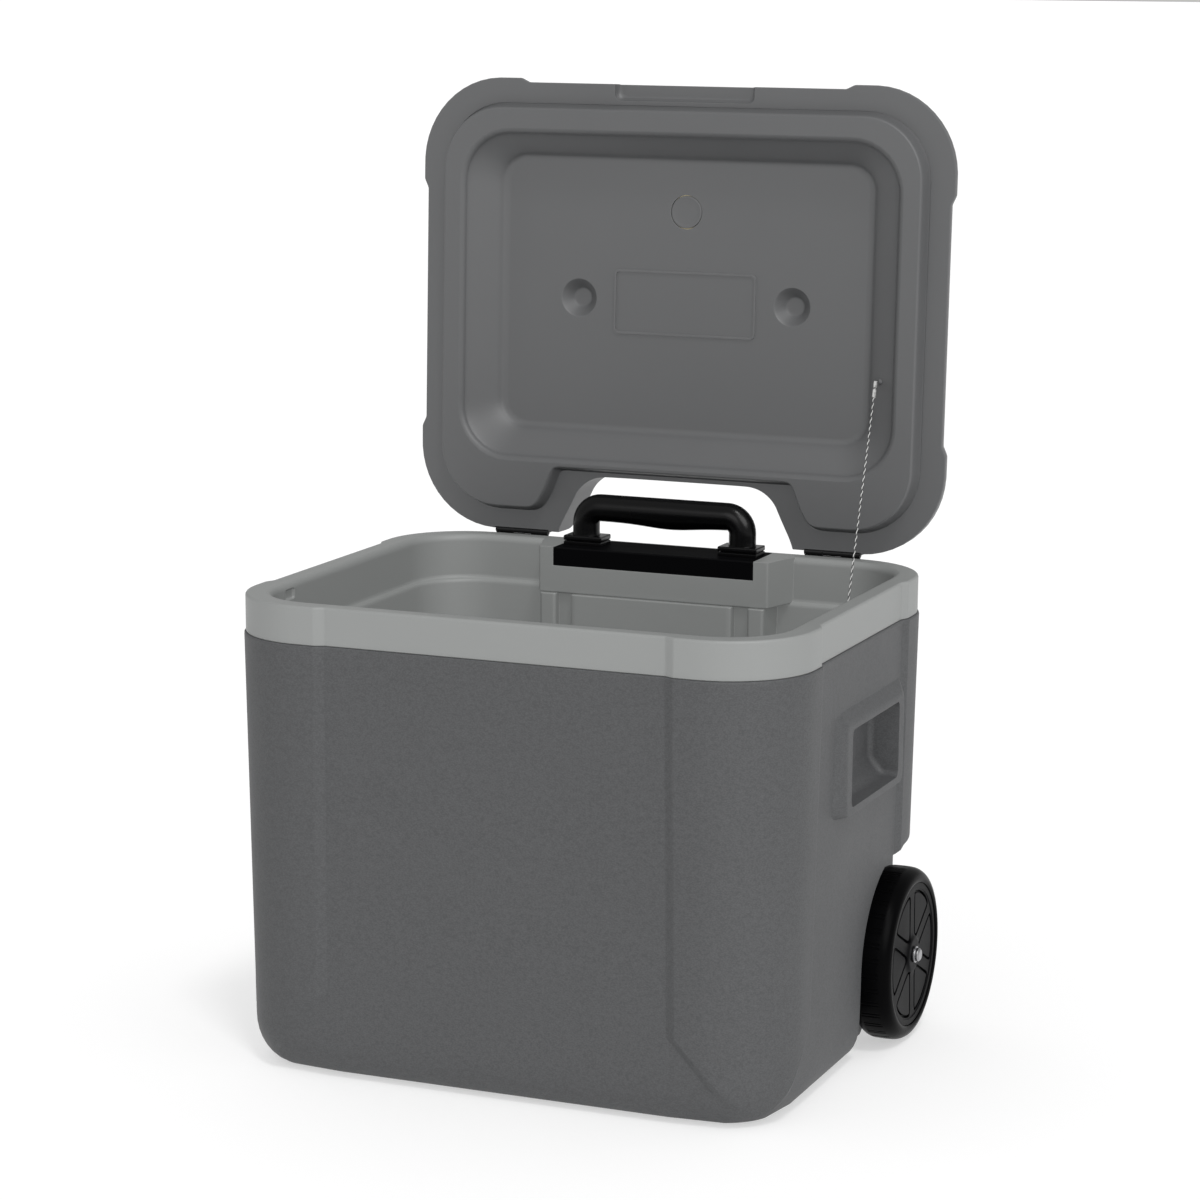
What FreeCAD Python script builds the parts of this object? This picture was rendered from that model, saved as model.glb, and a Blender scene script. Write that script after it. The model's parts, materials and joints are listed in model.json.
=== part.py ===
import FreeCAD, Part
import math
import os

V = FreeCAD.Vector

# Overall box, millimetres. X is to the right, -Y is the front, Z is up, ground at Z = 0.
HALF_WIDTH = 270.0        # liner collar, proud corners
HALF_DEPTH = 219.0
TOP_Z = 437.0             # top of the liner collar
BAND = 35.0               # height of the collar band
CORNER_R = 81.0
STEP_X = 166.0            # where the front panel steps back
STEP_Y = 117.0            # where the side panels step back
RECESS = 4.0
RAMP = 11.0
WALL = 3.0
GAP = 0.3
SHELL_TOP = TOP_Z - BAND
SHELL_OUT = 1.5           # the shell stands this far out past the collar
DRAFT = 5.0
CREASE_Z = 82.0
BOTTOM_R = 32.0
BOTTOM_Z = 42.0

# Cavity of the liner.
CAV_X = 246.0
CAV_FRONT = -196.0
CAV_REAR = 200.0
CAV_R = 60.0
LEDGE_Z = TOP_Z - 44.0
FLOOR_Z = 42.0
REAR_FLOOR_Z = 114.0
REAR_FLOOR_Y = 60.0

# Handle housing on the rear wall, and the telescopic handle.
BOX_X = 118.0
FLARE_X = 131.0           # half width of the housing where it meets the rear wall
BOX_Y = 160.0
BOX_Z = TOP_Z - 45.0
PANEL_X = 83.0            # half width of the raised panel below the handle housing
PANEL_Y = 155.0           # face of that panel, in front of the housing's own face
RIB_X = 99.0              # inner and outer side of the rib at each end of it
RIB_OUT = 115.5
BEZEL_X = 103.0
BEZEL_H = 18.0
TUBE_X = 80.0
TUBE_Y = 190.5

# Wheels and axle.
WHEEL_R = 82.0
WHEEL_Y = 121.0
WHEEL_IN = 246.0
WHEEL_OUT = 286.0
AXLE_R = 5.0
PETAL_TURN = 13.0         # how far the wheels stand turned, degrees
WELL_X = 236.0
WELL_R = 91.5
WELL_Z = 87.0             # height of the centre of the well's arch

# Lid, drawn closed and then turned open about the hinge axis.
HINGE_Y = 220.0
HINGE_Z = TOP_Z + 3.2
LID_OPEN = 92.0
LID_X = 271.5
LID_FRONT = -220.5
LID_REAR = 219.0
LID_Z = TOP_Z + 0.5
LID_SPLIT = TOP_Z + 3.0
LID_TOP = TOP_Z + 45.0
LID_WALL = 2.5
PLUG_Z = LID_Z - 15.0
RECESS_Z = TOP_Z + 14.0

# Lid stay cord.
CORD_D = 2.4
CORD_WALL = V(203.0, HINGE_Y - 166.0, TOP_Z + 0.3)   # on the side of the lid's hollow, closed
CORD_LOW = V(244.3, 18.0, 417.0)


def box(x0, x1, y0, y1, z0, z1):
    return Part.makeBox(x1 - x0, y1 - y0, z1 - z0, V(x0, y0, z0))


def rod(r, start, end):
    axis = end.sub(start)
    return Part.makeCylinder(r, axis.Length, start, axis)


def ring(r_out, r_in, start, end):
    axis = end.sub(start).normalize()
    tool = rod(r_in, start.sub(axis), end.add(axis))
    return rod(r_out, start, end).cut(tool)


def mirrored(shape):
    return shape.mirror(V(0, 0, 0), V(1, 0, 0))


def fuse_all(shapes):
    result = shapes[0]
    for other in shapes[1:]:
        result = result.fuse(other)
    return result.removeSplitter()


def prism(points, direction):
    wire = Part.makePolygon([V(*p) for p in points + points[:1]])
    return Part.Face(wire).extrude(V(*direction))


def corner_arc(cx, cy, r, start_deg, z):
    pts = []
    for k in range(3):
        a = math.radians(start_deg + 45 * k)
        pts.append(V(cx + r * math.cos(a), cy + r * math.sin(a), z))
    return Part.Arc(pts[0], pts[1], pts[2]).toShape(), pts[0], pts[2]


def chain(points):
    edges = []
    for a, b in zip(points[:-1], points[1:]):
        edges.append(Part.makeLine(a, b))
    return edges


def outline(hx, yf, yr, r, z, sx=None, sy=None, rec=0.0):
    """Rounded rectangle. With sx and sy the front and sides step in by rec between them."""
    fr, f0, f1 = corner_arc(hx - r, yf + r, r, 270, z)
    rr, r0, r1 = corner_arc(hx - r, yr - r, r, 0, z)
    rl, l0, l1 = corner_arc(-hx + r, yr - r, r, 90, z)
    fl, g0, g1 = corner_arc(-hx + r, yf + r, r, 180, z)
    front = [g1, f0]
    right = [f1, r0]
    left = [l1, g0]
    if sx is not None:
        h = RAMP / 2
        front = [g1, V(-sx - h, yf, z), V(-sx + h, yf + rec, z)]
        front += [V(sx - h, yf + rec, z), V(sx + h, yf, z), f0]
        right = [f1, V(hx, -sy - h, z), V(hx - rec, -sy + h, z)]
        right += [V(hx - rec, sy - h, z), V(hx, sy + h, z), r0]
        left = [l1, V(-hx, sy + h, z), V(-hx + rec, sy - h, z)]
        left += [V(-hx + rec, -sy + h, z), V(-hx, -sy - h, z), g0]
    edges = chain(front) + [fr] + chain(right) + [rr] + chain([r1, l0])
    edges += [rl] + chain(left) + [fl]
    return Part.Wire(edges)


def loft(wires):
    return Part.makeLoft(wires, True, True)


def shell_block(t, top):
    """The body's outer form, shrunk by t, from the ground up to top."""
    hx = HALF_WIDTH + SHELL_OUT - t
    hy = HALF_DEPTH + SHELL_OUT - t
    r = CORNER_R + SHELL_OUT - t
    wires = [outline(hx, -hy, hy, r, top, STEP_X, STEP_Y, RECESS)]
    d = DRAFT
    wires.append(outline(hx - d, -hy + d, hy - d, r - d, CREASE_Z, STEP_X + 3, STEP_Y + 3, RECESS))
    for deg in (0.0, 25.0, 50.0, 70.0, 90.0):
        a = math.radians(deg)
        inset = d + 0.6 + (BOTTOM_R - t * 0.4) * (1 - math.cos(a))
        z = t + (BOTTOM_Z - t) * (1 - math.sin(a))
        fade = RECESS * max(0.05, (z - 12.0) / (CREASE_Z - 12.0))
        sx = STEP_X + 3 + 9 * (1 - z / BOTTOM_Z)
        sy = STEP_Y + 3 + 3 * (1 - z / BOTTOM_Z)
        wires.append(outline(hx - inset, -hy + inset, hy - inset, r - inset, z, sx, sy, fade))
    return loft(wires)


def wheel_well(t):
    """Space for the right wheel, grown by t: an arch in front, open to the rear below a rising ceiling."""
    x0 = WELL_X - t
    x1 = HALF_WIDTH + 20
    y0 = WHEEL_Y - 13
    z0 = WELL_Z + WELL_R - 3 + t
    arch = rod(WELL_R + t, V(x0, WHEEL_Y, WELL_Z), V(x1, WHEEL_Y, WELL_Z))
    below = box(x0, x1, WHEEL_Y - WELL_R - t, y0 + 1, -5, WELL_Z)
    pts = [(x0, y0, -5), (x0, y0, z0), (x0, y0 + 24, z0 + 8.5), (x0, 240, z0 + 21), (x0, 240, -5)]
    behind = prism(pts, (x1 - x0, 0, 0))
    return fuse_all([arch, behind, below])


def tilt_wedge(t):
    """Rear underside cut away so that the cooler can lean back on its wheels."""
    k = math.tan(math.radians(30))
    lift = t / math.cos(math.radians(30))
    y0 = 110.0
    y1 = HALF_DEPTH + 30
    pts = [(-300, y0 - 20 / k, -20 + lift), (-300, y1, (y1 - y0) * k + lift), (-300, y1, -40)]
    return prism(pts, (600, 0, 0))


def under_cuts(t):
    well = wheel_well(t)
    return [well, mirrored(well), tilt_wedge(t)]


def pocket_profile(grow):
    g = grow
    pts = [(285.0, 259.0 - g), (285.0, 331.0 + g), (265.0, 331.0 + g), (263.0, 345.0 + g)]
    pts += [(244.5 - g, 345.0 + g), (244.5 - g, 275.0 - g), (257.0 - g, 260.5 - g)]
    return pts


def pocket(grow):
    """Hand pocket in the right side, grown outwards by its wall."""
    y0 = -45.0 - grow
    pts = [(x, y0, z) for x, z in pocket_profile(grow)]
    return prism(pts, (0, 135.0 + 2 * grow, 0))


def pocket_boss():
    """Raised surround of the hand pocket: long slopes at the top and ends, a short one below."""
    base = [(263.0, -82.0, 252.0), (263.0, 124.0, 252.0), (263.0, 124.0, 357.0), (263.0, -82.0, 357.0)]
    face = [(272.5, -56.0, 256.0), (272.5, 101.0, 256.0), (272.5, 101.0, 334.0), (272.5, -56.0, 334.0)]
    wires = []
    for pts in (base, face):
        wires.append(Part.makePolygon([V(*p) for p in pts + pts[:1]]))
    return loft(wires)


def outer_shell():
    boss = pocket_boss()
    outside = shell_block(0, SHELL_TOP).fuse(boss).fuse(mirrored(boss))
    for tool in under_cuts(0):
        outside = outside.cut(tool)
    inside = shell_block(WALL, SHELL_TOP + 1)
    for tool in under_cuts(WALL):
        inside = inside.cut(tool)
    cup = pocket(WALL)
    for part in (cup, mirrored(cup)):
        inside = inside.cut(part)
    shell = outside.cut(inside)
    hand = pocket(0)
    for part in (hand, mirrored(hand)):
        shell = shell.cut(part)
    shell = shell.cut(rod(AXLE_R + 0.2, V(-300, WHEEL_Y, WHEEL_R), V(300, WHEEL_Y, WHEEL_R)))
    return shell.removeSplitter()


def cavity(t):
    """The cold space, grown outwards by t: open top, ledge, tapered walls, raised rear floor."""
    levels = [(TOP_Z + 1, 7.5), (TOP_Z - 1, 5.0), (TOP_Z - 4, 1.5), (TOP_Z - 8, 0.0)]
    if t > 0:
        levels = [(TOP_Z + 1, 0.0), (TOP_Z - 8, 0.0)]
    levels += [(LEDGE_Z + 3, -0.5), (LEDGE_Z, -5.0), (FLOOR_Z + 22 - t, -33.0)]
    levels += [(FLOOR_Z + 7 - t, -38.0), (FLOOR_Z - t, -50.0)]
    wires = []
    for z, grow in levels:
        g = grow + t
        fy = g * 0.85 if grow < 0 else g
        yr = CAV_REAR + min(g, 8.0) * 0.8
        wires.append(outline(CAV_X + g, CAV_FRONT - fy, yr, CAV_R + g * 0.6, z))
    space = loft(wires)
    step = box(-290, 290, REAR_FLOOR_Y + t, 290, -5, REAR_FLOOR_Z - t)
    half = [(BOX_X - t, BOX_Y + t), (FLARE_X - t, 203), (FLARE_X - t, 290)]
    line = half + [(-x, y) for x, y in reversed(half)]
    housing = prism([(x, y, BOX_Z + t) for x, y in line], (0, 0, TOP_Z + 5 - BOX_Z - t))
    lower = box(-RIB_OUT + t, RIB_OUT - t, BOX_Y + 5 + t, 290, -5, BOX_Z + t + 1)
    panel = box(-PANEL_X + t, PANEL_X - t, PANEL_Y + t, 200, -5, BOX_Z - t)
    tools = [step, housing, lower, panel]
    for side in (-1, 1):
        a = side * (RIB_OUT - t)
        b = side * (RIB_X + t)
        tools.append(box(min(a, b), max(a, b), PANEL_Y + 0.5 + t, 200, -5, BOX_Z - t))
    for tool in tools:
        space = space.cut(tool)
    return space


def collar_block(t, z0, z1):
    hx = HALF_WIDTH - t
    hy = HALF_DEPTH - t
    r = CORNER_R - t
    levels = [(z0, 0.0), (z1 - 2.6, 0.0), (z1 - 0.8, 0.7), (z1, 2.4)]
    wires = []
    for z, i in levels:
        wires.append(outline(hx - i, -hy + i, hy - i, r - i, z, STEP_X, STEP_Y, RECESS))
    return loft(wires)


def bezel_space(g):
    x = BEZEL_X + g
    return box(-x, x, BOX_Y - 10, HALF_DEPTH - 4 + g, TOP_Z - BEZEL_H - g, TOP_Z + 5)


def hinge_xs():
    return [(-190.0, -134.0), (134.0, 190.0)]


def screw_points():
    points = []
    for x0, x1 in hinge_xs():
        points += [x0 + 9, x1 - 9]
    return points


def liner():
    band = collar_block(0, SHELL_TOP, TOP_Z)
    hollow = collar_block(WALL, SHELL_TOP - 1, TOP_Z - WALL)
    tub = cavity(WALL).common(box(-300, 300, -300, 300, 0, TOP_Z - WALL / 2))
    body = band.cut(hollow).fuse(tub)
    body = body.cut(cavity(0)).cut(bezel_space(GAP))
    for x in screw_points():
        body = body.cut(rod(1.6, V(x, 205, 421), V(x, 225, 421)))
    for side in (-1, 1):
        slot = box(0, 10, -126, -108, 421, 431)
        slot.translate(V(CAV_X - 3 if side > 0 else -CAV_X - 7, 0, 0))
        body = body.cut(slot)
    eye = V(CAV_X - 5, CORD_LOW.y, CORD_LOW.z)
    body = body.cut(rod(3.6, eye, eye.add(V(12, 0, 0))))
    return body.removeSplitter()


def foam_insulation():
    block = shell_block(WALL + GAP, SHELL_TOP - 0.2)
    for tool in under_cuts(WALL + GAP):
        block = block.cut(tool)
    block = block.fuse(collar_block(WALL + 1.6, SHELL_TOP - 3, TOP_Z - WALL - GAP))
    tub = cavity(WALL + GAP)
    block = block.cut(tub)
    cup = pocket(WALL + GAP)
    for part in (cup, mirrored(cup)):
        block = block.cut(part)
    block = block.cut(bezel_space(1.0))
    for side in (-1, 1):
        x = side * TUBE_X
        block = block.cut(rod(11.4, V(x, TUBE_Y, 90), V(x, TUBE_Y, TOP_Z)))
    block = block.cut(box(-104, 104, TUBE_Y - 14.4, TUBE_Y + 15.4, 85.7, 95.3))
    block = block.cut(rod(AXLE_R + 1.5, V(-300, WHEEL_Y, WHEEL_R), V(300, WHEEL_Y, WHEEL_R)))
    for x in screw_points():
        block = block.cut(rod(2.2, V(x, 205, 421), V(x, 225, 421)))
    eye = V(CAV_X - 5, CORD_LOW.y, CORD_LOW.z)
    block = block.cut(rod(5.0, eye, eye.add(V(14, 0, 0))))
    for side in (-1, 1):
        slot = box(0, 9, -128, -106, 419, 433)
        slot.translate(V(CAV_X if side > 0 else -CAV_X - 9, 0, 0))
        block = block.cut(slot)
    solids = sorted(block.Solids, key=lambda s: s.Volume)
    return solids[-1]


def handle_bezel():
    block = box(-BEZEL_X, BEZEL_X, BOX_Y, HALF_DEPTH - 4, TOP_Z - BEZEL_H, TOP_Z)
    block = block.makeChamfer(0.8, [e for e in block.Edges if e.BoundBox.ZMin > TOP_Z - 0.1])
    for side in (-1, 1):
        x = side * TUBE_X
        block = block.cut(rod(9.7, V(x, TUBE_Y, TOP_Z - 30), V(x, TUBE_Y, TOP_Z + 5)))
    return block


def guide_sleeve(side):
    x = side * TUBE_X
    return ring(11.0, 9.8, V(x, TUBE_Y, 95), V(x, TUBE_Y, TOP_Z - BEZEL_H))


def sleeve_base():
    plate = box(-100, 100, TUBE_Y - 14, TUBE_Y + 15, 90, 95)
    for side in (-1, 1):
        plate = plate.cut(rod(4.0, V(side * TUBE_X, TUBE_Y, 80), V(side * TUBE_X, TUBE_Y, 100)))
    return plate


def mid_tube(side):
    x = side * TUBE_X
    return ring(9.4, 8.4, V(x, TUBE_Y, 105), V(x, TUBE_Y, TOP_Z + 1.2))


def mid_glide(side):
    x = side * TUBE_X
    return ring(9.5, 5.0, V(x, TUBE_Y, 99), V(x, TUBE_Y, 105))


def mid_collar(side):
    x = side * TUBE_X
    low = box(x - 19.5, x + 19.5, TUBE_Y - 13, TUBE_Y + 12, TOP_Z + 0.3, TOP_Z + 4.0)
    low = low.makeChamfer(1.0, [e for e in low.Edges if e.BoundBox.ZMin > TOP_Z + 3.9])
    low = low.cut(rod(9.4, V(x, TUBE_Y, TOP_Z), V(x, TUBE_Y, TOP_Z + 1.2)))
    return low.cut(rod(8.3, V(x, TUBE_Y, TOP_Z), V(x, TUBE_Y, TOP_Z + 10)))


def inner_tube(side):
    x = side * TUBE_X
    return ring(8.0, 7.0, V(x, TUBE_Y, 122), V(x, TUBE_Y, TOP_Z + 14))


def inner_glide(side):
    x = side * TUBE_X
    return ring(8.1, 4.0, V(x, TUBE_Y, 116), V(x, TUBE_Y, 122))


def grip():
    """Grip: two legs on square feet and a bar with a swell under its middle."""
    zb = TOP_Z + 36.5
    x = TUBE_X + 1.0
    r = 15.5
    foot_z = TOP_Z + 4.3
    a = V(-x, TUBE_Y, foot_z + 2)
    b = V(-x, TUBE_Y, zb - r)
    c = V(-x + r, TUBE_Y, zb)
    d = V(x - r, TUBE_Y, zb)
    e = V(x, TUBE_Y, zb - r)
    f = V(x, TUBE_Y, foot_z + 2)
    q = r * (1 - math.sqrt(0.5))
    arc1 = Part.Arc(b, V(-x + q, TUBE_Y, zb - q), c).toShape()
    arc2 = Part.Arc(d, V(x - q, TUBE_Y, zb - q), e).toShape()
    path = Part.Wire([Part.makeLine(a, b), arc1, Part.makeLine(c, d), arc2, Part.makeLine(e, f)])
    section = Part.Ellipse(V(a.x + 13.4, a.y, a.z), V(a.x, a.y + 12.3, a.z), a)
    profile = Part.Wire([section.toShape()])
    bar = path.makePipeShell([profile], True, True)
    swell = Part.makeSphere(13.0)
    scale = FreeCAD.Matrix()
    scale.scale(3.8, 0.93, 1.0)
    swell = swell.transformGeometry(scale)
    swell.translate(V(8, TUBE_Y, zb - 4.0))
    feet = []
    for side in (-1, 1):
        fx = side * TUBE_X
        foot = box(fx - 20, fx + 20, TUBE_Y - 13.5, TUBE_Y + 12.4, foot_z, foot_z + 5)
        edges = [e for e in foot.Edges if e.BoundBox.ZMin > foot_z + 4.9]
        feet.append(foot.makeChamfer(2.0, edges))
    body = fuse_all([bar, swell] + feet)
    for side in (-1, 1):
        fx = side * TUBE_X
        body = body.cut(rod(8.02, V(fx, TUBE_Y, TOP_Z), V(fx, TUBE_Y, TOP_Z + 14)))
    return body


def petal_face(x):
    """Outline of one petal in the wheel's face, pointing along +Y from the wheel's centre."""
    side = [(17, 0), (18, 3.2), (21.5, 6.2), (28, 10), (40, 17), (49, 22.2), (53, 23.6)]
    side += [(56, 22.4), (58.4, 17.2), (60.2, 9), (60.8, 0)]
    pts = side + [(y, -z) for y, z in side[-2:0:-1]]
    points = [V(x, y, z) for y, z in pts]
    return Part.Face(Part.makePolygon(points + points[:1]))


def wheel_hub():
    """Right wheel's plastic centre, with six petal-shaped grooves in its face."""
    barrel = rod(14.0, V(WHEEL_IN - 2, 0, 0), V(WHEEL_OUT - 1, 0, 0))
    plate = rod(64.0, V(WHEEL_OUT - 11, 0, 0), V(WHEEL_OUT - 3, 0, 0))
    rim = ring(68.0, 61.5, V(WHEEL_IN + 1, 0, 0), V(WHEEL_OUT - 2, 0, 0))
    hub = fuse_all([barrel, plate, rim])
    ribs = []
    for k in range(6):
        rib = box(WHEEL_IN + 6, WHEEL_OUT - 10, 10, 63, -1.5, 1.5)
        rib.rotate(V(0, 0, 0), V(1, 0, 0), 30 + 60 * k)
        ribs.append(rib)
    hub = fuse_all([hub] + ribs)
    depth = WHEEL_OUT - 5.5
    for k in range(6):
        petal = petal_face(depth).extrude(V(10, 0, 0))
        petal.rotate(V(0, 0, 0), V(1, 0, 0), 60 * k)
        hub = hub.cut(petal)
        pad = petal_face(depth - 0.5).makeOffset2D(-2.5).extrude(V(1.6, 0, 0))
        pad.rotate(V(0, 0, 0), V(1, 0, 0), 60 * k)
        hub = hub.fuse(pad)
    hub = hub.cut(rod(AXLE_R + 0.06, V(0, 0, 0), V(400, 0, 0)))
    hub = hub.removeSplitter()
    hub.rotate(V(0, 0, 0), V(1, 0, 0), PETAL_TURN)
    hub.translate(V(0, WHEEL_Y, WHEEL_R))
    return hub


def tyre():
    """Right tyre: broad flat tread with rounded shoulders."""
    a = WHEEL_IN
    b = WHEEL_OUT
    pts = [(a, 68.1), (a, 72), (a + 2.5, 77.5), (a + 8, 81.4), (a + 14, WHEEL_R), (b - 14, WHEEL_R)]
    pts += [(b - 8, 81.1), (b - 2.8, 76.8), (b - 0.4, 71.5), (b - 1.2, 68.1)]
    poly = [V(x, 0, r) for x, r in pts]
    face = Part.Face(Part.makePolygon(poly + poly[:1]))
    body = face.revolve(V(0, 0, 0), V(1, 0, 0), 360)
    body.translate(V(0, WHEEL_Y, WHEEL_R))
    return body


def axle():
    return rod(AXLE_R, V(-WHEEL_OUT - 3, WHEEL_Y, WHEEL_R), V(WHEEL_OUT + 3, WHEEL_Y, WHEEL_R))


def axle_spacer():
    return ring(11.0, AXLE_R + 0.05, V(WELL_X, WHEEL_Y, WHEEL_R), V(WHEEL_IN - 2.4, WHEEL_Y, WHEEL_R))


def push_nut():
    """Domed cap pressed on the end of the axle."""
    x = WHEEL_OUT - 0.6
    flange = rod(7.8, V(x, 0, 0), V(x + 1.2, 0, 0))
    dome = rod(6.4, V(x + 1, 0, 0), V(x + 5.4, 0, 0))
    dome = dome.makeChamfer(1.6, [e for e in dome.Edges if e.BoundBox.XMin > x + 5.3])
    nut = flange.fuse(dome).cut(rod(AXLE_R + 0.02, V(x - 1, 0, 0), V(WHEEL_OUT + 3.2, 0, 0)))
    nut.translate(V(0, WHEEL_Y, WHEEL_R))
    return nut


def lid_block(t, z0, z1):
    """Outer form of the closed lid, shrunk by t: a short upright edge, then sides that lean in."""
    profile = [(z0, 0.0, 0.0), (LID_Z + 5, 0.0, 0.0), (LID_Z + 15, 2.5, 0.0), (LID_Z + 32, 9.0, 0.5)]
    profile += [(z1 - 3.5, 17.0, 8.5), (z1 - 0.9, 21.5, 13.0), (z1, 27.0, 19.0)]
    wires = []
    for z, i, j in profile:
        hx = LID_X - i - t
        yf = LID_FRONT + i + t
        yr = LID_REAR - j - t
        wires.append(outline(hx, yf, yr, CORNER_R + 1 - i - t, z, STEP_X, STEP_Y, RECESS))
    return loft(wires)


def notch_prism(g, z0, z1):
    """Through notch in the lid's rear edge, clear of the handle, grown by g."""
    half = [(126 + g, 240), (124 + g, 219), (109 + g, 190), (102 + g, 177 - g * 0.7)]
    half += [(94 + g * 0.8, 168.5 - g * 0.9), (82 + g * 0.4, 162.4 - g), (70, 161.3 - g)]
    pts = [(x, y, z0) for x, y in half] + [(-x, y, z0) for x, y in reversed(half)]
    return prism(pts, (0, 0, z1 - z0))


def plug_notch(g, z0, z1):
    """Step back in the lid's plug around the handle housing, grown by g."""
    half = [(148 + g, 240), (134 + g, 197), (122.5 + g, 156.5 - g)]
    pts = [(x, y, z0) for x, y in half] + [(-x, y, z0) for x, y in reversed(half)]
    return prism(pts, (0, 0, z1 - z0))


def plug_block(t, z_top):
    wires = []
    for z, g in ((PLUG_Z + t, -0.5), (PLUG_Z + 2.5 + t, 1.5), (LID_Z - 0.01, 4.5), (z_top, 4.5)):
        g = g - t
        wires.append(outline(CAV_X - 4 + g, CAV_FRONT + 2.5 - g * 0.5, CAV_REAR - 4 + g * 0.5, 58 + g, z))
    return loft(wires)


def lid_recess(g):
    """Hollow in the underside of the lid, grown by g."""
    z_low = PLUG_Z - 1
    z_high = RECESS_Z + g
    low = outline(221 + g, -168 - g, 144 + g, 45 + g, z_low)
    mid = outline(193 + g, -149 - g, 119 + g, 26 + g, z_high - 5)
    high = outline(188 + g, -146 - g, 115 + g, 22 + g, z_high)
    return loft([low, mid, high])


def dimple(side, g):
    z = RECESS_Z
    c = V(side * 110.0, -11.0, z - 0.5)
    return Part.makeCone(19.0 + g, 9.5 + g, 11.5 + g, c, V(0, 0, 1))


def scoop(g):
    """Finger scoop under the lid's front edge."""
    w = 71.0 + g
    pts = [(-w, -230, LID_Z - 2), (-w, -230, LID_Z + 7 + g), (-w, -201 + g, LID_Z + 7 + g)]
    pts += [(-w, -198.5 + g, LID_Z - 2)]
    return prism(pts, (2 * w, 0, 0))


def knuckle_relief():
    tools = []
    for x0, x1 in hinge_xs():
        tools.append(rod(3.6, V(x0 - 1, HINGE_Y, HINGE_Z), V(x1 + 1, HINGE_Y, HINGE_Z)))
    return tools


def lid_shell():
    outside = lid_block(0, LID_SPLIT, LID_TOP)
    inside = lid_block(LID_WALL, LID_SPLIT - 1, LID_TOP - LID_WALL)
    inside = inside.cut(notch_prism(LID_WALL, 400, 500)).cut(scoop(LID_WALL))
    shell = outside.cut(inside).cut(notch_prism(0, 400, 500)).cut(scoop(0))
    for tool in knuckle_relief():
        shell = shell.cut(tool)
    for x in screw_points():
        shell = shell.cut(rod(1.6, V(x, 205, 455), V(x, 225, 455)))
    return shell.removeSplitter()


def lid_panel():
    """Underside of the lid: flat flange, raised plug and the hollow inside it."""
    flange = outline(LID_X, LID_FRONT, LID_REAR, CORNER_R + 1, LID_Z, STEP_X, STEP_Y, RECESS)
    flange = Part.Face(flange).extrude(V(0, 0, LID_SPLIT - LID_Z))
    cup = lid_recess(LID_WALL)
    solid = flange.fuse(plug_block(0, LID_SPLIT).cut(plug_notch(0, 400, LID_Z)))
    above = cup.common(box(-300, 300, -300, 300, LID_Z + 1, 500))
    solid = solid.fuse(above)
    hollow = plug_block(LID_WALL, LID_SPLIT + 2).cut(plug_notch(LID_WALL, 400, 500))
    hollow = hollow.cut(cup)
    cones = [dimple(s, 2.0) for s in (-1, 1)]
    solid = solid.cut(hollow).cut(lid_recess(0))
    for cone in cones:
        solid = solid.fuse(cone.common(box(-300, 300, -300, 300, RECESS_Z + 0.5, 500)))
    frame = box(-73, 73, -40, 22, RECESS_Z - 0.7, RECESS_Z + 1)
    frame = frame.cut(box(-71.6, 71.6, -38.6, 20.6, RECESS_Z - 3, RECESS_Z + 2))
    solid = solid.fuse(frame)
    for s in (-1, 1):
        solid = solid.cut(dimple(s, 0.0))
    solid = solid.cut(rod(16.0, V(0, -97, RECESS_Z - 3), V(0, -97, RECESS_Z + 6)))
    solid = solid.cut(rod(3.05, off_wall(-8.0), off_wall(5.0)))
    solid = solid.cut(notch_prism(0, 400, 500)).cut(scoop(0))
    for tool in knuckle_relief():
        solid = solid.cut(tool)
    return solid.removeSplitter()


def lid_foam():
    g = LID_WALL + GAP
    block = lid_block(g, LID_SPLIT + GAP, LID_TOP - g)
    block = block.cut(lid_recess(g)).cut(notch_prism(g, 400, 500)).cut(scoop(g))
    for s in (-1, 1):
        block = block.cut(dimple(s, 2.5))
    block = block.cut(rod(17.0, V(0, -97, RECESS_Z), V(0, -97, RECESS_Z + 5)))
    block = block.cut(rod(4.0, off_wall(-6.0), off_wall(5.0)))
    for x0, x1 in hinge_xs():
        block = block.cut(rod(5.0, V(x0 - 2, HINGE_Y, HINGE_Z), V(x1 + 2, HINGE_Y, HINGE_Z)))
    for x in screw_points():
        block = block.cut(rod(2.2, V(x, 205, 455), V(x, 225, 455)))
    solids = sorted(block.Solids, key=lambda s: s.Volume)
    return solids[-1]


def fill_plug():
    disc = rod(15.9, V(0, -97, RECESS_Z - 0.4), V(0, -97, RECESS_Z + 3.2))
    return disc


def knuckle(x0, x1, bore):
    return ring(3.0, bore, V(x0, HINGE_Y, HINGE_Z), V(x1, HINGE_Y, HINGE_Z))


def body_leaf(x0, x1):
    """Hinge leaf on the collar: plate and the two outer knuckles."""
    plate = box(x0, x1, HALF_DEPTH, HALF_DEPTH + 1.6, 408, HINGE_Z)
    plate = plate.cut(box(x0 + 18.6, x1 - 18.6, 200, 230, HINGE_Z - 3.2, HINGE_Z + 5))
    leaf = plate.fuse(rod(3.0, V(x0, HINGE_Y, HINGE_Z), V(x0 + 18.6, HINGE_Y, HINGE_Z)))
    leaf = leaf.fuse(rod(3.0, V(x1 - 18.6, HINGE_Y, HINGE_Z), V(x1, HINGE_Y, HINGE_Z)))
    leaf = leaf.cut(rod(1.52, V(x0 - 1, HINGE_Y, HINGE_Z), V(x1 + 1, HINGE_Y, HINGE_Z)))
    for x in (x0 + 9, x1 - 9):
        leaf = leaf.cut(rod(1.8, V(x, 205, 421), V(x, 225, 421)))
    return leaf


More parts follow.
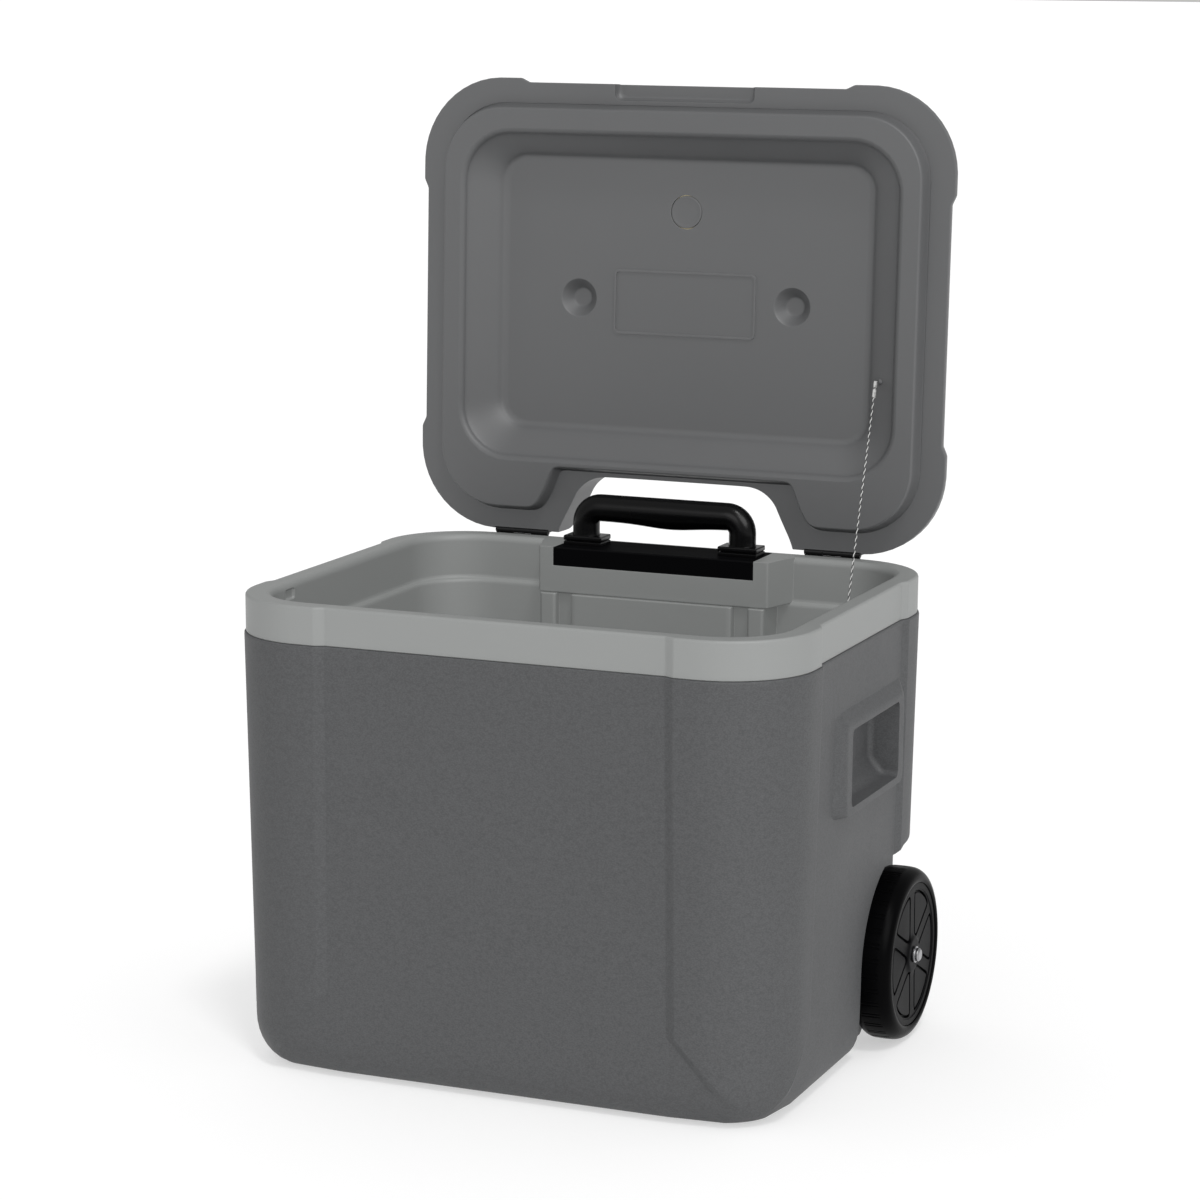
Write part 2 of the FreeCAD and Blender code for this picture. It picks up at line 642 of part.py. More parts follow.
def lid_leaf(x0, x1):
    """Hinge leaf on the lid: plate and the middle knuckle."""
    plate = box(x0, x1, LID_REAR, LID_REAR + 1.6, HINGE_Z, 467)
    for a, b in ((x0 - 1, x0 + 18.9), (x1 - 18.9, x1 + 1)):
        plate = plate.cut(box(a, b, 200, 230, HINGE_Z - 5, HINGE_Z + 3.8))
    leaf = plate.fuse(rod(3.0, V(x0 + 18.9, HINGE_Y, HINGE_Z), V(x1 - 18.9, HINGE_Y, HINGE_Z)))
    leaf = leaf.cut(rod(1.56, V(x0 - 1, HINGE_Y, HINGE_Z), V(x1 + 1, HINGE_Y, HINGE_Z)))
    for x in (x0 + 9, x1 - 9):
        leaf = leaf.cut(rod(1.8, V(x, 205, 455), V(x, 225, 455)))
    return leaf


def hinge_pin(x0, x1):
    return rod(1.5, V(x0 - 0.6, HINGE_Y, HINGE_Z), V(x1 + 0.6, HINGE_Y, HINGE_Z))


def screws(z):
    """The four screws of one row of hinge leaves."""
    parts = []
    for x in screw_points():
        shank = rod(1.5, V(x, 208, z), V(x, HALF_DEPTH + 2, z))
        head = Part.makeCone(3.4, 2.4, 1.4, V(x, HALF_DEPTH + 1.6, z), V(0, 1, 0))
        parts.append(shank.fuse(head))
    return Part.Compound(parts)


def opened(shape):
    turned = shape.copy()
    turned.rotate(V(0, HINGE_Y, HINGE_Z), V(1, 0, 0), -LID_OPEN)
    return turned


def off_wall(d):
    """Point at distance d off the sloping side of the lid's hollow, lid closed."""
    return CORD_WALL.add(V(-0.659 * d, 0, -0.753 * d))


def stay_anchor():
    """Small plug in the lid's underside that holds the cord's upper end."""
    return rod(3.0, off_wall(-5.0), off_wall(0.5))


def cord_top():
    """Upper end of the cord's run, just clear of its anchor, with the lid open."""
    p = off_wall(2.9)
    a = math.radians(LID_OPEN)
    dy = p.y - HINGE_Y
    dz = p.z - HINGE_Z
    y = dy * math.cos(a) + dz * math.sin(a)
    z = -dy * math.sin(a) + dz * math.cos(a)
    return V(p.x, HINGE_Y + y, HINGE_Z + z)


def stay_cord():
    """Straight twisted cord with its two knots below the lid."""
    top = cord_top()
    low = CORD_LOW
    along = low.sub(top).normalize()
    line = rod(CORD_D / 2, top, low)
    knots = []
    for d in (1.5, 12.0):
        k = Part.makeSphere(2.1, top.add(V(along.x * d, along.y * d, along.z * d)))
        knots.append(k)
    return fuse_all([line] + knots)


def stay_eye():
    """Small plug in the liner's right wall that holds the cord's lower end."""
    c = V(CAV_X - 1.9, CORD_LOW.y, CORD_LOW.z)
    head = rod(5.2, c, V(CAV_X - 0.5, c.y, c.z))
    stem = rod(3.4, V(CAV_X - 0.6, c.y, c.z), V(CAV_X + 7, c.y, c.z))
    return head.fuse(stem)


def parts():
    hub = wheel_hub()
    rubber = tyre()
    spacer = axle_spacer()
    nut = push_nut()
    nodes = {
        "outer_shell": outer_shell(),
        "foam_insulation": foam_insulation(),
        "liner": liner(),
        "handle_bezel": handle_bezel(),
        "guide_sleeve_left": guide_sleeve(-1),
        "guide_sleeve_right": guide_sleeve(1),
        "sleeve_base": sleeve_base(),
        "mid_tube_left": mid_tube(-1),
        "mid_tube_right": mid_tube(1),
        "mid_collar_left": mid_collar(-1),
        "mid_collar_right": mid_collar(1),
        "mid_glide_left": mid_glide(-1),
        "mid_glide_right": mid_glide(1),
        "inner_tube_left": inner_tube(-1),
        "inner_tube_right": inner_tube(1),
        "inner_glide_left": inner_glide(-1),
        "inner_glide_right": inner_glide(1),
        "grip": grip(),
        "axle": axle(),
        "axle_spacer_right": spacer,
        "axle_spacer_left": mirrored(spacer),
        "push_nut_right": nut,
        "push_nut_left": mirrored(nut),
        "wheel_hub_right": hub,
        "wheel_hub_left": mirrored(hub),
        "tyre_right": rubber,
        "tyre_left": mirrored(rubber),
        "lid_shell": opened(lid_shell()),
        "lid_panel": opened(lid_panel()),
        "lid_foam": opened(lid_foam()),
        "lid_fill_plug": opened(fill_plug()),
        "lid_stay_anchor": opened(stay_anchor()),
        "hinge_screws_body": screws(421),
        "hinge_screws_lid": opened(screws(455)),
        "lid_stay_cord": stay_cord(),
        "lid_stay_eye": stay_eye(),
    }
    for name, (x0, x1) in zip(("left", "right"), hinge_xs()):
        nodes["hinge_leaf_body_" + name] = body_leaf(x0, x1)
        nodes["hinge_leaf_lid_" + name] = opened(lid_leaf(x0, x1))
        nodes["hinge_pin_" + name] = hinge_pin(x0, x1)
    return nodes


os.makedirs("parts", exist_ok=True)
for node, shape in parts().items():
    shape.exportStep("parts/" + node + ".step")
    print(node, len(shape.Solids), "solids, valid", shape.isValid(), round(shape.Volume / 1000, 1), "cm3")
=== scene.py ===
import json
import math

import bmesh
import bpy
import numpy as np
from mathutils import Matrix, Vector


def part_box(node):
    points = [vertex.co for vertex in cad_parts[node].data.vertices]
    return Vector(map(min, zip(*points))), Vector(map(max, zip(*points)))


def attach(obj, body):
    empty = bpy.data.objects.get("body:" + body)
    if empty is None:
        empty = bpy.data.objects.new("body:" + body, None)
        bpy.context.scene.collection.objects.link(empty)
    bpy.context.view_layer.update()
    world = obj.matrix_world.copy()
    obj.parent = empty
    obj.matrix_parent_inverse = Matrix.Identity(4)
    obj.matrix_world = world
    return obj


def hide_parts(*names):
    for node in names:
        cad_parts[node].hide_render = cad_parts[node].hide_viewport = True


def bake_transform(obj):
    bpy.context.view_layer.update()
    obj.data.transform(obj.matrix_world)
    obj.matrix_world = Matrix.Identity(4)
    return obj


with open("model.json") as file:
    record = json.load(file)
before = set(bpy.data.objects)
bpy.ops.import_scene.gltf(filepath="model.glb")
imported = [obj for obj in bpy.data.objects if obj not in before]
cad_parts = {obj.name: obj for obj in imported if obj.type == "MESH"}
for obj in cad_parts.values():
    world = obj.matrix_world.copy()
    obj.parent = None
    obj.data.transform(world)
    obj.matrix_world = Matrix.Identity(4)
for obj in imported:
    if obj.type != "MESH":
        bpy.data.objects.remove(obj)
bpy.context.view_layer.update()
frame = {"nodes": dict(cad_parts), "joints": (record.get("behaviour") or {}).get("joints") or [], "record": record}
nodes = frame["nodes"]
scene = bpy.context.scene

# ---------------------------------------------------------------- sizes, in millimetres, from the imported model
MM = 0.001


def node_box(name):
    low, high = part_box(name)
    return np.array(low) / MM, np.array(high) / MM


LINER_LOW, LINER_HIGH = node_box("liner")
TYRE_LOW, TYRE_HIGH = node_box("tyre_right")
HINGE = next(j for j in frame["joints"] if j["name"] == "lid_hinge")
HINGE_Y, HINGE_Z = [v / MM for v in HINGE["pos_m"][1:]]
LID_OPEN = math.radians(HINGE["range_deg"][1])

# Body: proud rounded corners, and sides that step in between them.
HALF_WIDTH = LINER_HIGH[0]
HALF_DEPTH = -LINER_LOW[1]
TOP_Z = LINER_HIGH[2]
SHELL_TOP = node_box("outer_shell")[1][2]
SHELL_OUT = 1.5
CORNER_R = 81.0
STEP_X = 166.0
STEP_Y = 117.0
RAMP = 5.5
RECESS = 4.0
WALL = 3.0
DRAFT = 5.0
CREASE_Z = 82.0
BOTTOM_Z = 42.0
BOTTOM_R = 32.0
TILT = math.radians(30)
TILT_Y = 110.0
BOSS_X = 263.0
BOSS_OUT = 11.2
FOAM_GAP = WALL + 0.3

# Cold space, with the handle's housing and its centre panel at the back, and the hole for the cord's eye.
CAV_X = 246.0
CAV_FRONT = -196.0
CAV_REAR = 200.0
LEDGE_Z = TOP_Z - 44.0
FLOOR_Z = 42.0
STEP_UP_Z = 114.0
HOUSING_X = 118.0
HOUSING_Y = 160.0
FLARE_X = 131.0
PANEL_X = 83.0
PANEL_Y = 155.0
RIB_MID = 107.25
SEAT_X = 103.3
EYE_Y = 18.0
EYE_Z = 417.0

# Wheels, their wells and the handle's tubes.
WHEEL_Y = (TYRE_LOW[1] + TYRE_HIGH[1]) / 2
WHEEL_Z = (TYRE_LOW[2] + TYRE_HIGH[2]) / 2
WHEEL_IN = TYRE_LOW[0]
WHEEL_OUT = TYRE_HIGH[0]
TYRE_R = TYRE_HIGH[2] - WHEEL_Z
RIM_R = 68.0
BORE_R = 5.06
AXLE_BORE_R = 5.2
WELL_X = 236.0
WELL_R = 91.5
WELL_Z = 87.0
PETAL_TURN = 3.5
TUBE_X = 80.0
TUBE_Y = 190.5

# Lid, as if closed on the body.
LID_X = 271.5
LID_FRONT = -220.5
LID_REAR = 219.0
LID_WALL = 2.5
LID_Z = TOP_Z + 0.5
LID_SPLIT = TOP_Z + 3.0
LID_TOP = TOP_Z + 45.0
PLUG_Z = LID_Z - 15.0
RECESS_Z = TOP_Z + 14.0
NOTCH_Y = 161.3
SCOOP_X = 71.0
SCOOP_Y = -201.0
SCOOP_R = 14.0
PLUG_NOTCH_Y = 156.5
DIMPLE_X = 110.0
DIMPLE_Y = -11.0
FILL_Y = -97.0


# ---------------------------------------------------------------- mesh tools
def new_object(name, verts, faces):
    mesh = bpy.data.meshes.new(name)
    mesh.from_pydata([tuple(v) for v in np.asarray(verts, float) * MM], [], faces)
    bm = bmesh.new()
    bm.from_mesh(mesh)
    bmesh.ops.recalc_face_normals(bm, faces=bm.faces)
    bm.to_mesh(mesh)
    bm.free()
    obj = bpy.data.objects.new(name, mesh)
    scene.collection.objects.link(obj)
    return obj


def loft(name, rings, closed=False):
    """Skin over rings that all have the same number of points, capped at both ends unless closed on itself."""
    n = len(rings[0])
    m = len(rings)
    verts = np.concatenate(rings)
    faces = []
    for k in range(m if closed else m - 1):
        a = k * n
        b = ((k + 1) % m) * n
        for i in range(n):
            j = (i + 1) % n
            faces.append((a + i, a + j, b + j, b + i))
    if not closed:
        faces.append(tuple(range(n)))
        faces.append(tuple(range((m - 1) * n, m * n)))
    return new_object(name, verts, faces)


def combine(obj, steps):
    """Applies boolean steps, each an operation and a tool, which is used up."""
    for operation, tool in steps:
        step = obj.modifiers.new("step", "BOOLEAN")
        step.operation = operation
        step.solver = "MANIFOLD"
        step.object = tool
    return bake(obj, [tool for _, tool in steps])


def bake(obj, used=()):
    """Replaces the object's mesh by what its modifiers make of it."""
    depsgraph = bpy.context.evaluated_depsgraph_get()
    mesh = bpy.data.meshes.new_from_object(obj.evaluated_get(depsgraph))
    obj.modifiers.clear()
    old = obj.data
    obj.data = mesh
    bpy.data.meshes.remove(old)
    for tool in used:
        bpy.data.objects.remove(tool)
    return obj


def cut(obj, *tools):
    return combine(obj, [("DIFFERENCE", t) for t in tools])


def join(obj, *tools):
    return combine(obj, [("UNION", t) for t in tools])


def bevel(obj, width, segments=3, angle=40):
    step = obj.modifiers.new("bevel", "BEVEL")
    step.width = width * MM
    step.segments = segments
    step.limit_method = "ANGLE"
    step.angle_limit = math.radians(angle)
    return bake(obj)


def tidy(obj, angle=32):
    """Merges stray points and shades smooth with sharp edges past the angle."""
    bm = bmesh.new()
    bm.from_mesh(obj.data)
    bmesh.ops.remove_doubles(bm, verts=bm.verts, dist=0.004 * MM)
    bmesh.ops.dissolve_degenerate(bm, edges=bm.edges, dist=0.004 * MM)
    bm.to_mesh(obj.data)
    bm.free()
    obj.data.shade_smooth()
    obj.data.set_sharp_from_angle(angle=math.radians(angle))
    step = obj.modifiers.new("normals", "WEIGHTED_NORMAL")
    step.keep_sharp = True
    return obj


def turn(obj, matrix):
    obj.data.transform(matrix)
    return obj


def mirror_copy(obj, name):
    """Copy mirrored across the middle plane."""
    mesh = obj.data.copy()
    mesh.transform(Matrix.Scale(-1, 4, (1, 0, 0)))
    mesh.flip_normals()
    copy = bpy.data.objects.new(name, mesh)
    scene.collection.objects.link(copy)
    return copy


def soften(points, rounds=2):
    """Cuts the corners of an open line of points, keeping both ends."""
    pts = np.asarray(points, float)
    for _ in range(rounds):
        a, b = pts[:-1], pts[1:]
        mid = np.stack([a * 0.75 + b * 0.25, a * 0.25 + b * 0.75], 1).reshape(-1, pts.shape[1])
        pts = np.concatenate([pts[:1], mid[1:-1], pts[-1:]])
    return pts


def ease(t, a=0.22):
    """From 0 to 1, straight in the middle and rounded at both ends."""
    t = np.clip(t, 0, 1)
    k = 1 / (2 * a * (1 - a))
    return np.where(t < a, k * t * t, np.where(t > 1 - a, 1 - k * (1 - t) ** 2, (t - a / 2) / (1 - a)))


def octant(length, r, step, rec):
    """Half of a side from its middle to the middle of its corner: distance along, distance in."""
    flat = length - r
    end = flat + r * math.pi / 4
    step = min(step, end - RAMP - 8)
    t = np.array([0, 0.1, 0.25, 0.5, 0.75, 0.9, 1.0])
    s = np.concatenate([
        np.linspace(0, step - RAMP, 5)[:-1],
        step - RAMP + 2 * RAMP * t,
        np.linspace(step + RAMP, end, 9)[1:],
    ])
    turn_by = np.maximum(s - flat, 0) / r
    inward = rec * (1 - ease((s - step + RAMP) / (2 * RAMP)))
    u = np.minimum(s, flat) + (r - inward) * np.sin(turn_by)
    v = inward + (r - inward) * (1 - np.cos(turn_by))
    return u, v


def ring(hx, yf, yr, r, z, sx=None, sy=None, rec=0.0):
    """Rounded rectangle at height z; with rec, its front and sides step in between the corners."""
    yc = (yf + yr) / 2
    hy = (yr - yf) / 2
    off = yc if sy else 0.0
    sx = sx or (hx - r) * 0.7
    sy = sy or (hy - r) * 0.7
    fu, fv = octant(hx, r, sx, rec)
    su, sv = octant(hy, r, sy + off, rec)
    tu, tv = octant(hy, r, sy - off, rec)
    ru, rv = octant(hx, r, sx, 0.0)
    x = np.concatenate([fu, (hx - sv)[-2::-1], (hx - tv)[1:], ru[-2::-1]])
    y = np.concatenate([yf + fv, (yc - su)[-2::-1], (yc + tu)[1:], (yr - rv)[-2::-1]])
    x = np.concatenate([x, -x[-2:0:-1]])
    y = np.concatenate([y, y[-2:0:-1]])
    return np.stack([x, y, np.full_like(x, z)], 1)


def circle(cx, cy, z, r, n=48):
    a = np.arange(n) * 2 * math.pi / n
    return np.stack([cx + r * np.cos(a), cy + r * np.sin(a), np.full(n, z)], 1)


def prism_x(name, profile, x0, x1):
    """Profile of (y, z) points pushed along X."""
    rings = [[(x, y, z) for y, z in profile] for x in (x0, x1)]
    return loft(name, rings)


def prism_y(name, profile, y0, y1):
    rings = [[(x, y, z) for x, z in profile] for y in (y0, y1)]
    return loft(name, rings)


def prism_z(name, profile, z0, z1):
    rings = [[(x, y, z) for x, y in profile] for z in (z0, z1)]
    return loft(name, rings)


def box(name, x0, x1, y0, y1, z0, z1):
    return prism_z(name, [(x0, y0), (x1, y0), (x1, y1), (x0, y1)], z0, z1)


def rod_x(name, r, x0, x1, y, z, n=48):
    a = np.arange(n) * 2 * math.pi / n
    return prism_x(name, [(y + r * math.cos(t), z + r * math.sin(t)) for t in a], x0, x1)


def plate_ring(x, y0, y1, z0, z1, r, n=7):
    """Rounded rectangle that stands at one x."""
    pts = []
    corners = ((y1 - r, z0 + r, -90), (y1 - r, z1 - r, 0), (y0 + r, z1 - r, 90), (y0 + r, z0 + r, 180))
    for cy, cz, start in corners:
        for k in range(n):
            a = math.radians(start + 90 * k / (n - 1))
            pts.append((x, cy + r * math.cos(a), cz + r * math.sin(a)))
    return np.array(pts)


# ---------------------------------------------------------------- outer shell
def shell_rings(t, top):
    """The body's outer form, shrunk by t, from the ground up to top."""
    hx = HALF_WIDTH + SHELL_OUT - t
    hy = HALF_DEPTH + SHELL_OUT - t
    r = CORNER_R + SHELL_OUT - t
    levels = []
    for deg in (90, 80, 70, 60, 50, 40, 30, 20, 10, 0):
        a = math.radians(deg)
        inset = DRAFT + 0.6 + (BOTTOM_R - t * 0.4) * (1 - math.cos(a))
        levels.append((t + (BOTTOM_Z - t) * (1 - math.sin(a)), inset))
    levels += [(55.0, DRAFT + 0.35), (68.0, DRAFT + 0.15), (CREASE_Z, DRAFT)]
    levels += [(130.0, DRAFT * 0.85), (240.0, DRAFT * 0.51), (320.0, DRAFT * 0.26)]
    if t:
        levels.append((top, 0.0))
    else:
        levels += [(top - 2.2, 0.0), (top - 1.2, 0.15), (top - 0.4, 0.6), (top, 1.4)]
    rings = []
    for z, inset in levels:
        low = max(0.0, (CREASE_Z - z) / 64.0)
        sx = STEP_X + 3 * min(1.0, (top - z) / (top - CREASE_Z)) + 58 * low
        sy = STEP_Y + 3 * min(1.0, (top - z) / (top - CREASE_Z)) + 46 * low
        rec = RECESS * min(1.0, max(0.12, (z - 2) / 34.0))
        rings.append(ring(hx - inset, -hy + inset, hy - inset, r - inset, z, sx, sy, rec))
    return rings


def well(t):
    """Space for the right wheel, grown by t: an arch in front, open behind below a rising ceiling."""
    r = WELL_R + t
    pts = [(WHEEL_Y - r, -8.0)]
    for k in range(17):
        a = math.radians(180 - 87 * k / 16)
        pts.append((WHEEL_Y + r * math.cos(a), WELL_Z + r * math.sin(a)))
    behind = HALF_DEPTH + 30.0
    pts += [(WHEEL_Y + 11, 184.0 + t), (240.0, 196.5 + t), (behind, 197.6 + t), (behind, -8.0)]
    return prism_x("well", pts, WELL_X - t, HALF_WIDTH + 30)


def tilt_wedge(t):
    k = math.tan(TILT)
    lift = t / math.cos(TILT)
    y0 = TILT_Y
    y1 = HALF_DEPTH + 30
    pts = [(y0 - 20 / k, -20 + lift), (y1, (y1 - y0) * k + lift), (y1, -40)]
    return prism_x("wedge", pts, -300, 300)


def pocket(g):
    """Hand pocket in the right side: an upright back, hooked up behind the upper lip."""
    pts = [(290.0, 259.0 - g), (290.0, 331.0 + g), (265.0, 331.0 + g), (263.0, 345.0 + g)]
    pts += [(244.5 - g, 345.0 + g), (244.5 - g, 275.0 - g), (257.0 - g, 260.5 - g)]
    return bevel(prism_y("pocket", pts, -45.0 - g, 90.0 + g), 6.0 + g * 0.5, 5, 20)


def boss():
    """Raised surround of the hand pocket."""
    rings = [plate_ring(258.0, -82, 124, 252, 357, 14)]
    for t in (0, 0.12, 0.3, 0.5, 0.7, 0.8, 0.88, 0.95, 1.0):
        rise = float(ease(t, 0.25)) if t > 0.5 else 0.5 + (t - 0.5) / 0.75
        x = BOSS_X + BOSS_OUT * rise
        y0 = -82 + 26 * t
        y1 = 124 - 23 * t
        rings.append(plate_ring(x, y0, y1, 252 + 1.5 * t, 357 - 23 * t, 14 - 8 * t))
    return loft("boss", rings)


def both(maker, *args):
    first = maker(*args)
    return [first, mirror_copy(first, "mirror")]


def make_shell():
    inner = loft("inner", shell_rings(WALL, SHELL_TOP + 1))
    inner = cut(inner, *both(well, WALL), tilt_wedge(WALL))
    inner = cut(inner, *both(pocket, WALL))
    outer = loft("body_shell", shell_rings(0, SHELL_TOP))
    outer = join(outer, *both(boss))
    outer = cut(outer, *both(well, 0.0), tilt_wedge(0.0))
    outer = cut(outer, inner)
    outer = cut(outer, *both(pocket, 0.0))
    return cut(outer, rod_x("bore", AXLE_BORE_R, -300, 300, WHEEL_Y, WHEEL_Z))


# ---------------------------------------------------------------- liner
def cavity(t):
    """The cold space, grown by t: rounded lip, ledge, tapered walls, raised floor behind, handle housing."""
    if t:
        levels = [(TOP_Z - WALL / 2, 0.0), (TOP_Z - 8, 0.0)]
    else:
        levels = [(TOP_Z + 1.5, 9.0), (TOP_Z + 0.1, 7.2)]
        for deg in (10, 25, 40, 55, 70, 90):
            a = math.radians(deg)
            levels.append((TOP_Z - 7 * (1 - math.cos(a)), 6.4 * (1 - math.sin(a))))
    ledge = [(LEDGE_Z + 3.4, -0.6), (LEDGE_Z + 0.6, -1.2), (LEDGE_Z - 0.4, -4.6), (LEDGE_Z - 4, -5.6)]
    f = FLOOR_Z - t
    foot = [(FLOOR_Z + 30 - t, -32.4), (FLOOR_Z + 8 - t, -34.5), (f, -40.0), (f, -58.0)]
    levels += [(LEDGE_Z + 4, -0.5)]
    levels += [tuple(p) for p in soften(ledge)]
    levels += [(250.0, -17.0), (120.0, -28.2)]
    levels += [tuple(p) for p in soften(foot)]
    rings = []
    for z, g in levels:
        fy = g * 0.85 if g < 0 else g
        g += t
        fy = fy + t
        yr = CAV_REAR + min(g, 8.0) * 0.8
        rings.append(ring(CAV_X + g, CAV_FRONT - fy, yr, 60.0 + g * 0.6, z))
    rings.sort(key=lambda p: -p[0, 2])
    space = loft("cavity", rings)
    tools = [bevel(box("step", -290, 290, 60 + t, 290, -5, STEP_UP_Z - t), 5.0 + t, 4)]
    high = [(LEDGE_Z - 1 + t, 2.0), (LEDGE_Z - 0.4 + t, 0.6), (LEDGE_Z + 1 + t, 0.0), (TOP_Z + 8, 0.0)]
    flare = [(FLARE_X, 290), (FLARE_X, 207), (FLARE_X, 203.5), (FLARE_X - 1, 200.2)]
    flare += [(HOUSING_X + 0.9, HOUSING_Y + 3)]
    line = soften(flare + [(HOUSING_X, HOUSING_Y), (HOUSING_X - 3.4, HOUSING_Y), (0, HOUSING_Y)], 2)
    housing = []
    for z, i in high:
        half = [(x - t - i, y + (t + i) * (y < 200)) for x, y in line[:-1]]
        housing.append([(x, y, z) for x, y in half] + [(-x, y, z) for x, y in half[::-1]])
    tools.append(loft("housing", housing))
    tools.append(loft("lower", [ring(115.5 - t, 165 + t, 290, 5.0, z) for z in (-5, LEDGE_Z + 2)]))
    tops = [(-5, 0), (LEDGE_Z - 1.8 - t, 0), (LEDGE_Z - 1.2 - t, 0.3), (LEDGE_Z - 1 - t, 0.9)]
    tools.append(loft("panel", [ring(PANEL_X - t - i, PANEL_Y + t + i, 200, 3.0, z) for z, i in tops]))
    for side in (-1, 1):
        rib = []
        for z, i in tops:
            pts = rounded(8.25 - t - i, 155.5 + t + i, 200, 3.0)
            rib.append([(x + side * RIB_MID, y, z) for x, y in pts])
        tools.append(loft("rib", rib))
    return cut(space, *tools)


def collar_rings(t, z0, z1):
    levels = [(z0, 0.9 if not t else 0.0), (z0 + 0.5, 0.2 if not t else 0.0), (z0 + 1.2, 0.0)]
    for deg in (0, 20, 40, 60, 75, 90):
        a = math.radians(deg)
        levels.append((z1 - 2.4 * (1 - math.sin(a)), 2.4 * (1 - math.cos(a))))
    hx, hy, r = HALF_WIDTH - t, HALF_DEPTH - t, CORNER_R - t
    return [ring(hx - i, -hy + i, hy - i, r - i, z, STEP_X, STEP_Y, RECESS) for z, i in levels]


def hinge_spans():
    return [(-190.0, -134.0), (134.0, 190.0)]


def make_tub():
    band = loft("tub", collar_rings(0, SHELL_TOP, TOP_Z))
    band = cut(band, loft("hollow", collar_rings(WALL, SHELL_TOP - 1.4, TOP_Z - WALL)))
    band = join(band, cavity(WALL))
    seat = box("seat", -SEAT_X, SEAT_X, 150, HALF_DEPTH - 3.7, TOP_Z - 18.3, TOP_Z + 5)
    slots = [box("slot", x0, x0 + 7.2, -126, -108, 421, 431) for x0 in (241, -248.2)]
    band = cut(band, cavity(0.0), seat, *[bevel(s, 2.0, 3) for s in slots])
    return cut(band, rod_x("eye", 3.6, CAV_X - 5, CAV_X + 7, EYE_Y, EYE_Z, 24))


def make_foam():
    """Foam between the shell and the liner, clear of both."""
    g = FOAM_GAP
    block = cut(loft("foam_core", shell_rings(g, SHELL_TOP - 0.2)), *both(well, g), tilt_wedge(g))
    block = join(block, loft("crown", collar_rings(g + 1.3, SHELL_TOP - 3, TOP_Z - g)))
    block = cut(block, *both(pocket, g), cavity(g))
    guides = [loft("guide", [circle(s * TUBE_X, TUBE_Y, z, 11.4) for z in (90, TOP_Z)]) for s in (-1, 1)]
    block = cut(block, box("seat", -SEAT_X - 1, SEAT_X + 1, 150, 216.3, TOP_Z - 19, TOP_Z + 5), *guides)
    block = cut(block, box("base", -104, 104, TUBE_Y - 14.4, TUBE_Y + 15.4, 85.7, 95.3))
    block = cut(block, rod_x("bore", 6.5, -300, 300, WHEEL_Y, WHEEL_Z))
    return cut(block, rod_x("eye", 5.0, CAV_X - 5, CAV_X + 9, EYE_Y, EYE_Z, 24))


# ---------------------------------------------------------------- lid, made closed and then opened
OPENED = (
    Matrix.Translation((0, HINGE_Y * MM, HINGE_Z * MM))
    @ Matrix.Rotation(-LID_OPEN, 4, "X")
    @ Matrix.Translation((0, -HINGE_Y * MM, -HINGE_Z * MM))
)


def notch_line():
    """Right half of the notch around the handle, from the rear edge to the middle, with rounded corners."""
    side = [(126, 246), (124, 219), (109, 190), (101, 173), (84, NOTCH_Y + 0.5)]
    return soften(side + [(62, NOTCH_Y), (0, NOTCH_Y)], 3)


def notch(g, z0, z1):
    half = notch_line()[:-1]
    half[:, 0] += g
    half[:, 1] -= g * np.clip((200 - half[:, 1]) / 30, 0, 1)
    pts = [tuple(p) for p in half] + [(-x, y) for x, y in half[::-1]]
    return prism_z("notch", pts, z0, z1)


def lid_rings(t, z0, z1):
    profile = [(LID_Z + 5, 0.0, 0.0), (LID_Z + 15, 2.5, 0.0), (LID_Z + 32, 9.0, 0.5), (z1 - 3.5, 17.0, 8.5)]
    profile = soften(profile + [(z1 - 0.9, 21.5, 13.0), (z1, 27.0, 19.0), (z1, 36.0, 28.0)], 2)
    levels = [(z0, 0.0, 0.0)] + [tuple(p) for p in profile]
    rings = []
    for z, i, j in levels:
        r = CORNER_R + 1 - i - t
        rings.append(ring(LID_X - i - t, LID_FRONT + i + t, LID_REAR - j - t, r, z, STEP_X, STEP_Y, RECESS))
    return rings


def scoop(g):
    w = SCOOP_X + g
    yr = SCOOP_Y + g
    side = soften([(-w, -230.0), (-w, yr - SCOOP_R), (-w, yr), (-w + SCOOP_R, yr), (0, yr)], 3)
    pts = [tuple(p) for p in side] + [(-x, y) for x, y in side[-2::-1]]
    levels = [(LID_Z - 2, 0), (LID_Z + 1, 0), (LID_Z + 5 + g, 1.6)]
    levels += [(LID_Z + 6.6 + g, 3.2), (LID_Z + 7 + g, 5.0)]
    return loft("scoop", [[(x * (1 - i / w), y - i * (y > -229), z) for x, y in pts] for z, i in levels])


def relief():
    return [rod_x("relief", 3.6, a - 1, b + 1, HINGE_Y, HINGE_Z, 24) for a, b in hinge_spans()]


def make_cover():
    outside = loft("lid_cover", lid_rings(0, LID_SPLIT + 0.05, LID_TOP))
    inside = loft("inside", lid_rings(LID_WALL, LID_SPLIT - 1, LID_TOP - LID_WALL))
    inside = cut(inside, notch(LID_WALL, 400, 500), scoop(LID_WALL))
    cover = cut(outside, inside, notch(0, 400, 500), scoop(0), *relief())
    return turn(cover, OPENED)


